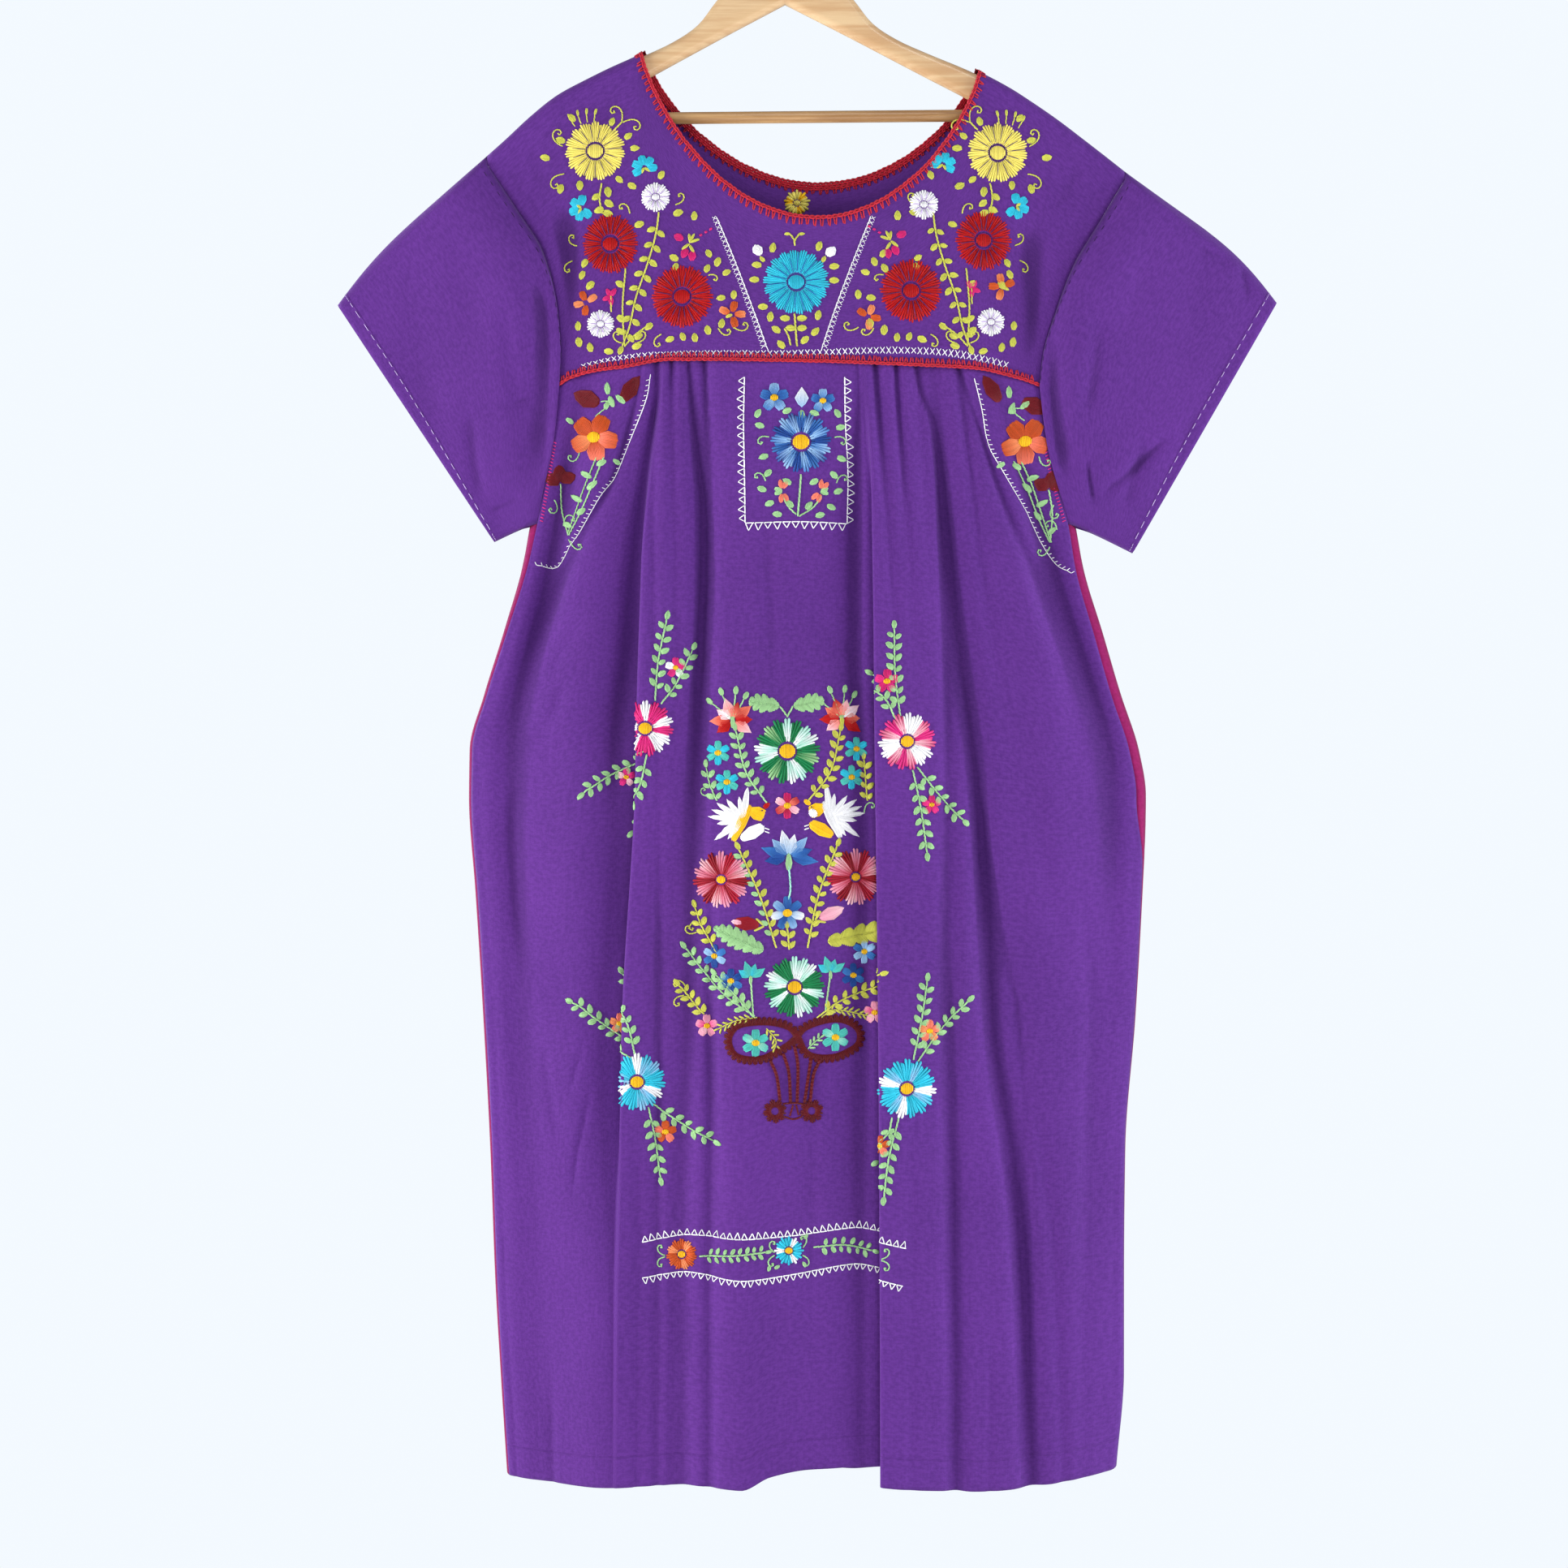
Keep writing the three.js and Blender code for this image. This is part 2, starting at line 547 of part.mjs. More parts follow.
// The yoke's top edge: left shoulder, neckline, right shoulder.
function yokeTop(face) {
  const [leftEnd, rightEnd] = [RIDGE[0].x, RIDGE[RIDGE.length - 1].x];
  const [leftNeck, rightNeck] = [NECK.centre - NECK.half, NECK.centre + NECK.half];
  const shoulder = (from, to) => steps([1, SHOULDER_SPANS]).map((s) => mix(from, to, s));
  const left = shoulder(leftEnd, leftNeck).map((x) => [x, ridgeZ(x)]);
  const neck = NECK_TURNS.slice(1, -1).map((turn) => neckPoint(turn, 0, face));
  const right = shoulder(rightNeck, rightEnd).map((x) => [x, ridgeZ(x)]);
  return [...left, ...neck, ...right];
}

// The yoke between its top edge, the two armholes and the yoke seam.
function yokeGrid(face) {
  const top = yokeTop(face);
  const last = top.length - 1;
  const footShare = (share) => share - FOOT_CROWDING * Math.sin(2 * Math.PI * share) / (2 * Math.PI);
  const footX = (j) => mix(ARMHOLE[5].leftX, ARMHOLE[5].rightX, footShare(j / last));
  const shares = top.map((_, j) => j / last);
  const rows = BAND.slice(0, 3).map((turn) => top.map(([x, z]) => {
    const lower = z - RIDGE_RADIUS * (1 - Math.cos(turn));
    return new THREE.Vector3(x, yokeY(x, lower, face), lower);
  }));
  for (let i = 0; i <= YOKE_ROWS; i += 1) {
    const down = i / YOKE_ROWS;
    const leftX = read(ARMHOLE, 'down', 'leftX', down);
    const leftZ = read(ARMHOLE, 'down', 'leftZ', down);
    const rightX = read(ARMHOLE, 'down', 'rightX', down);
    const rightZ = read(ARMHOLE, 'down', 'rightZ', down);
    rows.push(top.map(([topX, topZ], j) => {
      const share = shares[j];
      const start = topZ - RIDGE_RADIUS;
      const corners = (a, b, c, d) => mix(mix(a, b, share), mix(c, d, share), down);
      const x = mix(topX, footX(j), down) + mix(leftX, rightX, share)
        - corners(top[0][0], top[last][0], footX(0), footX(last));
      const z = mix(start, seamZ(footX(j)), down) + mix(leftZ, rightZ, share)
        - corners(top[0][1] - RIDGE_RADIUS, top[last][1] - RIDGE_RADIUS, SEAM_Z, SEAM_Z);
      return new THREE.Vector3(x, yokeY(x, z, face), z);
    }));
  }
  return rows;
}

function yokeWall(face) {
  const rows = yokeGrid(face);
  const last = rows[0].length - 1;
  const foot = rows.length - 1;
  const normals = gridNormals(rows, false).map((row) => row.map((n) => n.multiplyScalar(-face)));
  rows.forEach((row, i) => [0, last].forEach((j) => {
    normals[i][j] = yokeNormal(row[j].x, row[j].z, face);
  }));
  rows[0].forEach((point, j) => {
    const onShoulder = j <= SHOULDER_SPANS || j >= last - SHOULDER_SPANS;
    normals[0][j] = onShoulder ? ridgeNormal(point.x) : yokeNormal(point.x, point.z, face);
    if (onShoulder) point.y = face * SEAM / 2;
    point.z -= onShoulder ? 0 : SEAM / 2;
  });
  normals[foot] = normals[foot].map(flat);
  rows[foot].forEach((point) => { point.z += SEAM / 2; });
  rows.forEach((row) => {
    row[0].x += SEAM / 2;
    row[last].x -= SEAM / 2;
  });
  const ordered = face < 0 ? rows : rows.map((row) => [...row].reverse());
  const orderedNormals = face < 0 ? normals : normals.map((row) => [...row].reverse());
  return { rows: ordered, normals: orderedNormals };
}

const yokes = { front: yokeWall(-1), back: yokeWall(1) };
for (const [name, grid] of Object.entries(yokes)) {
  add(`yoke_${name}`, wallGeometry(grid.rows, grid.normals), COLOURS.cloth);
  // The crochet line over the seam follows the yoke's lower edge, moved out.
  const edge = grid.rows[grid.rows.length - 1];
  const out = grid.normals[grid.normals.length - 1];
  const line = [1, 0, -1].map((level) => edge.slice(1, -1).map((point, j) => point.clone()
    .addScaledVector(out[j + 1], WALL + SEAM)
    .add(new THREE.Vector3(0, 0, level * EDGING_HEIGHT / 2))));
  const lineNormals = line.map(() => out.slice(1, -1));
  add(`yoke_edging_${name}`, wallGeometry(line, lineNormals), COLOURS.crochet);
}

// The neck edging is a ring that carries on the yokes' surface inside the neckline.
function neckRing(inset) {
  const ring = (face, turns) => turns.map((turn) => {
    const [x, z] = neckPoint(turn, inset, face);
    return new THREE.Vector3(x, turn === 0 || turn === Math.PI ? 0 : yokeY(x, z, face), z);
  });
  return [...ring(-1, NECK_TURNS.slice(0, -1)), ...ring(1, [...NECK_TURNS].reverse().slice(0, -1))];
}
const neckRows = [neckRing(NECK.edging), neckRing(NECK.edging / 2), neckRing(SEAM)];
const neckNormals = gridNormals(neckRows, true);
neckNormals[2] = neckRows[2].map(({ x, y, z }) => (y === 0 ? ridgeNormal(x) : yokeNormal(x, z, Math.sign(y))));
add('neck_edging', wallGeometry(neckRows, neckNormals, true), COLOURS.crochet);

// ---------------------------------------------------------------- sleeves
// The armhole ring: ridge, front down to the underarm, round it, and up the back.
function armholeRing(name) {
  const side = SLEEVES[name].side;
  const row = side < 0 ? RIDGE[0] : RIDGE[RIDGE.length - 1];
  const half = (face) => {
    const points = BAND.slice(1, 3).map((turn) => {
      const z = row.z - RIDGE_RADIUS * (1 - Math.cos(turn));
      return new THREE.Vector3(row.x, yokeY(row.x, z, face), z);
    });
    for (let i = 0; i <= YOKE_ROWS; i += 1) {
      const x = read(ARMHOLE, 'down', `${name}X`, i / YOKE_ROWS);
      const z = read(ARMHOLE, 'down', `${name}Z`, i / YOKE_ROWS);
      points.push(new THREE.Vector3(x, yokeY(x, z, face), z));
    }
    ARM_ROWS.slice(1).forEach((down) => {
      const z = heightAt(down);
      points.push(new THREE.Vector3(body(name, z), face * body('radius', z), z));
    });
    return points;
  };
  const radius = body('radius', UNDERARM_Z);
  const under = [45, 90, 135].map((degrees) => {
    const turn = degrees * Math.PI / 180;
    return new THREE.Vector3(
      body(name, UNDERARM_Z) + side * radius * Math.sin(turn), -radius * Math.cos(turn), UNDERARM_Z);
  });
  return [new THREE.Vector3(row.x, 0, row.z), ...half(-1), ...under, ...half(1).reverse()];
}

// The same ring at the sleeve's hem, where each point lies as far down as at the armhole.
function hemRing(name, armhole) {
  const [top, foot] = [SLEEVES[name].hemTop, SLEEVES[name].hemFoot];
  const length = Math.hypot(foot[0] - top[0], foot[1] - top[1]);
  const radius = HEM_RADIUS;
  const count = (armhole.length - 4) / 2;
  const downs = [0];
  for (let i = 1; i <= count; i += 1) downs.push(downs[i - 1] + armhole[i].distanceTo(armhole[i - 1]));
  return armhole.map((_, k) => {
    const face = k <= count + 1 ? -1 : 1;
    const i = k <= count ? k : armhole.length - k;
    let down = mix(0, length, downs[Math.min(i, count)] / downs[count]);
    let y = face * radius;
    if (i <= 2) {
      down = radius * (1 - Math.cos(BAND[i]));
      y = face * radius * Math.sin(BAND[i]);
    }
    if (i === 3) down = radius;
    const under = k - count;
    if (under >= 0 && under <= 4) {
      const turn = under * Math.PI / 4;
      down = length - radius * (1 - Math.sin(turn));
      y = -radius * Math.cos(turn);
    }
    return new THREE.Vector3(mix(top[0], foot[0], down / length), y, mix(top[1], foot[1], down / length));
  });
}

function sleeveWall(name) {
  const { side, hump, hemTop } = SLEEVES[name];
  const armhole = armholeRing(name);
  const hem = hemRing(name, armhole);
  const lift = new THREE.Vector3(side * HUMP_WAY.out, 0, HUMP_WAY.up).multiplyScalar(hump);
  const middle = armhole.length / 2;
  const rows = SLEEVE_RINGS.map((ring) => armhole.map((start, k) => {
    const share = clamp((middle - Math.abs(k - middle)) / (middle - 2), 0, 1);
    const point = start.clone().lerp(hem[k], ring.out);
    const sag = Math.sin(Math.PI * share) ** 0.8;
    point.y += Math.sign(point.y) * ring.bulge * sag * (point.y < 0 ? 1 : 0.5);
    point.x -= side * ring.over * smooth((share - 0.3) / 0.3) * (1 - smooth((share - 0.85) / 0.15));
    point.addScaledVector(lift, Math.sin(Math.PI * ring.out ** 1.5) * (1 - share) ** 2);
    point.z += Math.abs(k - middle) < 2 ? ring.clear : 0;
    return point;
  }));
  const out = new THREE.Vector3(hemTop[0] - armhole[0].x, 0, hemTop[1] - armhole[0].z).normalize();
  rows[0].forEach((point, k) => {
    const way = new THREE.Vector3().subVectors(hem[k], armhole[k]).setY(0).normalize();
    point.addScaledVector(k === 0 ? out : way, SEAM / 2);
  });
  // Under the arm the sleeve passes just over the side strip's upper edge.
  const facing = rows[0].map((point, k) => {
    const face = k < middle ? -1 : 1;
    if (Math.abs(k - middle) < 2) return null;
    return k === 0 ? ridgeNormal(point.x) : yokeNormal(point.x, point.z, face);
  });
  const turned = (list) => (side < 0 ? list : [...list].reverse());
  const ordered = rows.map(turned);
  const normals = gridNormals(ordered, true);
  turned(facing).forEach((normal, k) => { normals[0][k] = normal ?? normals[0][k]; });
  return wallGeometry(ordered, normals, true);
}
add('sleeve_left', sleeveWall('left'), COLOURS.cloth);
add('sleeve_right', sleeveWall('right'), COLOURS.cloth);

// ---------------------------------------------------------------- hanger
const hanger = new THREE.Group();
hanger.rotation.y = HANGER.tilt;
dress.add(hanger);

function manifoldOf(geometry) {
  geometry.deleteAttribute('normal');
  geometry.deleteAttribute('uv');
  const merged = mergeVertices(geometry, 1e-4);
  return new wasm.Manifold(new wasm.Mesh({
    numProp: 3,
    vertProperties: new Float32Array(merged.attributes.position.array),
    triVerts: new Uint32Array(merged.index.array),
  }));
}

function geometryOf(solid) {
  const { vertProperties, triVerts } = solid.getMesh();
  const geometry = new THREE.BufferGeometry();
  geometry.setAttribute('position', new THREE.Float32BufferAttribute(vertProperties, 3));
  geometry.setIndex([...triVerts]);
  geometry.computeVertexNormals();
  return geometry;
}

// A round bar along X or Z.
function bar(radius, from, to, axis, sides) {
  const geometry = new THREE.CylinderGeometry(radius, radius, Math.abs(to - from), sides);
  if (axis === 'x') geometry.rotateZ(Math.PI / 2).translate((from + to) / 2, 0, HANGER.railZ);
  else geometry.rotateX(Math.PI / 2).translate(0, 0, (from + to) / 2);
  return geometry;
}

function armsGeometry() {
  const mirrored = (points) => points.map(([x, z]) => [-x, z]).reverse();
  const outline = [...mirrored(ARM_TOP).slice(0, -1), ...ARM_TOP, ...ARM_FOOT.slice(0, -1),
    ...mirrored(ARM_FOOT)];
  const shape = new THREE.Shape(outline.map(([x, z]) => new THREE.Vector2(x, z)));
  const geometry = new THREE.ExtrudeGeometry(shape, {
    depth: HANGER.thickness - 2 * HANGER.bevel,
    bevelThickness: HANGER.bevel,
    bevelSize: HANGER.bevel,
    bevelOffset: -HANGER.bevel,
    bevelSegments: 3,
  });
  geometry.rotateX(Math.PI / 2).translate(0, HANGER.thickness / 2 - HANGER.bevel, 0);
  const bore = HANGER.railRadius + HANGER.fit;
  const end = HANGER.railHalf + HANGER.fit;
  const socketStart = 150;
  let arms = manifoldOf(geometry);
  for (const side of [-1, 1]) {
    arms = arms.subtract(manifoldOf(bar(bore, side * socketStart, side * end, 'x', 16)));
  }
  const stem = bar(HANGER.wireRadius + HANGER.fit, HANGER.stemFoot - HANGER.fit, ARM_TOP[0][1] + 5, 'z', 12);
  return geometryOf(arms.subtract(manifoldOf(stem)));
}
add('hanger_arms', armsGeometry(), COLOURS.wood, 0.45, 0, hanger);
add('hanger_rail', bar(HANGER.railRadius, -HANGER.railHalf, HANGER.railHalf, 'x', 16), COLOURS.rail, 0.5, 0, hanger);

// The hook's wire: up out of the hump, over to the right, and round above the origin.
function hookGeometry() {
  const radius = HANGER.hookRadius + HANGER.wireRadius;
  const centreZ = -HANGER.hookRadius;
  const points = [[0, HANGER.stemFoot], [0, -68], [0, -55], [3, -44], [9.5, -34]].map(([x, z]) => vector([x, 0, z]));
  for (let degrees = -36; degrees <= 204; degrees += 12) {
    const turn = degrees * Math.PI / 180;
    points.push(vector([radius * Math.cos(turn), 0, centreZ + radius * Math.sin(turn)]));
  }
  const section = new THREE.Shape();
  section.absarc(0, 0, HANGER.wireRadius, 0, 2 * Math.PI);
  return new THREE.ExtrudeGeometry(section, {
    steps: 34,
    curveSegments: 4,
    extrudePath: new THREE.CatmullRomCurve3(points, false, 'centripetal'),
  });
}
add('hanger_hook', hookGeometry(), COLOURS.steel, 0.25, 1, hanger);

export default dress;
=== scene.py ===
# %% [markdown]
# # A Mexican embroidered dress on a wooden hanger
# The dress is a wide purple cotton dress from the Puebla tradition: a yoke full of flowers, a skirt
# pleated into it, short straight sleeves and a red crochet edge. It hangs on a wooden hanger.
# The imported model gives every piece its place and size. Here each plain wall is replaced by a finer
# and thinner cloth on the same form, and the sewing is laid on it stitch by stitch.

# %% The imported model
import math
import bmesh
import bpy
import numpy as np
from mathutils import Matrix, Vector


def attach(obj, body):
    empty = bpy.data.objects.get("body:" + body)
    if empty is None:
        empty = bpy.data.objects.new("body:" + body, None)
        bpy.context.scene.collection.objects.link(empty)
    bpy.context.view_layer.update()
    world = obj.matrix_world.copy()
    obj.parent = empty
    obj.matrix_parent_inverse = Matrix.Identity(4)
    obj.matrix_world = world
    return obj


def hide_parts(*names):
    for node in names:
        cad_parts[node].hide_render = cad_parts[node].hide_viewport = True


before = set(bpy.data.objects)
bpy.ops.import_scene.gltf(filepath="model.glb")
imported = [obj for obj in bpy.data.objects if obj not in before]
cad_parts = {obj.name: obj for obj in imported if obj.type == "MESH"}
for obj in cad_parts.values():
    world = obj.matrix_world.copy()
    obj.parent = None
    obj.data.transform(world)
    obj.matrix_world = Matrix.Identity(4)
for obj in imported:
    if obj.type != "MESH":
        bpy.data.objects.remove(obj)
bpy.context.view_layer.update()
MM = 0.001
print("pieces of the model:", ", ".join(sorted(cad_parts)))

# %% [markdown]
# A curve through a few stations is the tool for all that follows: outlines, folds and seams are
# short tables, read at any height. This curve never swings past its stations, so a table of rising
# numbers gives a rising edge. All of it works on whole arrays, so a cloth with thousands of points
# is placed in one go. Sizes are in millimetres until a mesh is made.

# %% Tables and curves
def table(columns, rows):
    return dict(zip(columns.split(), np.array(rows, float).T))


def between(places, values, at):
    """A smooth value between stations that never overshoots them."""
    places, values = np.asarray(places, float), np.asarray(values, float)
    if places[0] > places[-1]:
        places, values = places[::-1], values[::-1]
    at = np.clip(at, places[0], places[-1])
    slope = np.diff(values) / np.diff(places)
    product = slope[:-1] * slope[1:]
    total = np.where(product > 0, slope[:-1] + slope[1:], 1)
    tangent = np.concatenate([slope[:1], np.where(product > 0, 2 * product / total, 0), slope[-1:]])
    i = np.clip(np.searchsorted(places, at, side="right") - 1, 0, len(slope) - 1)
    width = places[i + 1] - places[i]
    t = (at - places[i]) / width
    rest = 1 - t
    return (values[i] * rest**2 * (1 + 2 * t) + values[i + 1] * t**2 * (3 - 2 * t)
            + tangent[i] * width * rest**2 * t - tangent[i + 1] * width * t**2 * rest)


def mix(start, end, share):
    return start + (end - start) * share


def smooth(share):
    t = np.clip(share, 0, 1)
    return t * t * (3 - 2 * t)


def fade(share):
    return np.where(share < 1, (np.cos(np.pi * np.maximum(share, 0)) + 1) / 2, 0)


# %% [markdown]
# The dress is measured as a tailor would: the line of the shoulders, the armhole, the seam between
# yoke and skirt, and the half outline of the body at each height with how far it stands out.

# %% Sizes of the dress
RIDGE_RADIUS = 8
SEAM_Z = -406
UNDERARM_Z = -517
HEM_Z = -1275
CENTRE_X = 10
NECK = {"centre": 21, "half": 136, "front": 127, "back": 99}
STRIP = {"top": 19, "full": 30, "taper": 80}

RIDGE = table("x z", [
    [-237, -222], [-223, -209.5], [-202, -190], [-181, -173.5], [-158, -161.1], [-140, -152.2],
    [-115, -140.8], [-100, -132.5], [100, -129.5], [115, -137.3], [140, -148], [158, -155.9],
    [180, -167.5], [198, -179], [219, -193.5], [240, -209.5], [260, -225], [272, -234.5]])
ARMHOLE = table("down left left_z right right_z", [
    [0.00, -237, -230, 272, -242.5], [0.24, -212, -268, 250, -279], [0.42, -192, -301, 231, -311],
    [0.68, -181, -346, 216, -351], [0.84, -178.5, -378, 207, -381], [1.00, -180, -406, 204, -406]])
YOKE_SEAM = table("x z", [
    [-180, -406], [-170, -400], [-151, -395], [-128, -392], [-89, -386.5], [12, -388],
    [106, -391], [151, -393], [184, -399.5], [204, -406]])
BODY = table("z left right radius front back", [
    [-406, -180, 204, 8, 13, 5], [-440, -184, 208.5, 7.6, 14, 5], [-480, -190.5, 216.5, 6.8, 15, 6],
    [-517, -197, 227, 6, 16, 6], [-552, -203.2, 233.2, 6.3, 18, 7], [-604, -217, 248, 7, 21, 8],
    [-656, -232.5, 262.5, 7.5, 24, 9], [-700, -243.5, 276, 8, 26, 10],
    [-735, -243.7, 281.2, 8.3, 27, 10], [-812, -238, 278, 9, 28, 11],
    [-916, -231.5, 272, 9, 29, 12], [-1020, -226, 264, 9, 30, 12], [-1124, -222, 263, 9, 31, 13],
    [-1200, -217.5, 263, 9, 32, 13], [-1275, -212.5, 257, 9, 33, 14]])
STRIP_TURN = table("z left right", [
    [-517, 0, 0], [-600, 4, -1], [-740, 7, 0], [-800, 8, 9], [-1275, 8, 12]])
HEM_RISE = table("along rise", [
    [-250, 7], [-229, -2], [-150, -6], [-86, -3.5], [-44, -5], [-21, 5], [11, 10.5], [66, 12],
    [95, -2.5], [183, -9], [281, 2], [292, 5]])
BACK_HEM_SAG = 8
print("cloth from", RIDGE["z"].max(), "down to", HEM_Z + HEM_RISE["rise"].min(), "mm")

# %% [markdown]
# Pleats start at the yoke seam and open on their way down. Each is a place across the dress, a depth
# and a half width at six heights: a depth above zero is a valley, below zero a ridge. Two deep folds
# lie on themselves, so cloth is hidden in them. They are turned like a flattened S.

# %% Folds
HEIGHTS = [-406, -560, -720, -900, -1090, -1275]
FRONT_FOLDS = [
    ([-102, -104, -101, -100, -100, -100], [4, 3, 2, 3, 3, 3], 5),
    ([-89, -88, -86, -88, -89, -90], [4, 2, 1, 0, 1, 2], 4.5),
    ([-76, -64, -67, -74, -80, -80], [4, 8, 7, 4, 3, 4], 8),
    ([-63, -53, -54, -58, -58, -58], [4, 1, 0, 3, 3, 3], 5),
    ([73, 84, 92, 98, 100, 100], [4, 2, 0, 0, 1, 1], 4.5),
    ([89, 99, 108, 112, 114, 114], [4, 1, 0, 0, 0, 0], 4.5),
    ([105, 117, 128, 130, 134, 136], [4, 2, 1, 3, 6, 5], 7),
    ([119, 133, 153, 163, 188, 196], [4, 9, 9, 9, 10, 8], 9),
    ([138, 158, 178, 188, 214, 222], [4, 2, 0, 1, 2, 2], 5),
    ([-30, -30, -32, -34, -34, -30], [0, -2, -3, -5, -6, -7], 22),
    ([178, 190, 214, 214, 228, 232], [0, -4, -5, -4, -3, -2], 22),
    ([-140, -150, -165, -160, -150, -146], [0, -5, -6, -4, -6, -7], 24),
    ([168, 214, 258, 262, 262, 258], [2, 9, 5, 1, 1, 1], 14),
    ([-158, -186, -214, -208, -196, -190], [2, 9, 5, 3, 2, 2], 14)]
BACK_FOLDS = [
    ([-108, -112, -118, -124, -128, -130], [-3, -4, -5, -6, -7, -7], 10),
    ([-84, -80, -78, -76, -74, -72], [-3, -3, -3, -4, -5, -6], 11),
    ([-58, -48, -40, -34, -28, -24], [-3, -2, -2, -3, -4, -4], 13),
    ([84, 78, 72, 66, 60, 56], [-3, -2, -3, -4, -5, -5], 13),
    ([108, 112, 116, 120, 122, 124], [-3, -4, -4, -5, -6, -6], 11),
    ([132, 150, 168, 176, 182, 186], [-3, -4, -5, -5, -6, -7], 11)]
DEEP_FOLDS = {
    1: {"radius": 2.4, "spread": 55, "x": [63, 73, 77, 80, 82, 82.5],
        "angle": [0, 140, 158, 162, 165, 165], "run": [2, 5, 8, 9, 10, 10]},
    -1: {"radius": 2.4, "spread": 42, "x": [-96, -112, -113, -124, -132, -134],
         "angle": [0, -110, -150, -142, -60, -25], "run": [2, 5, 7, 6, 3, 2]}}


def fold_depth(folds, x, z):
    depth = np.zeros(np.broadcast(x, z).shape)
    for place, deep, width in folds:
        off = (x - between(HEIGHTS, place, z)) / width
        depth += between(HEIGHTS, deep, z) * np.exp(-off**2)
    return depth
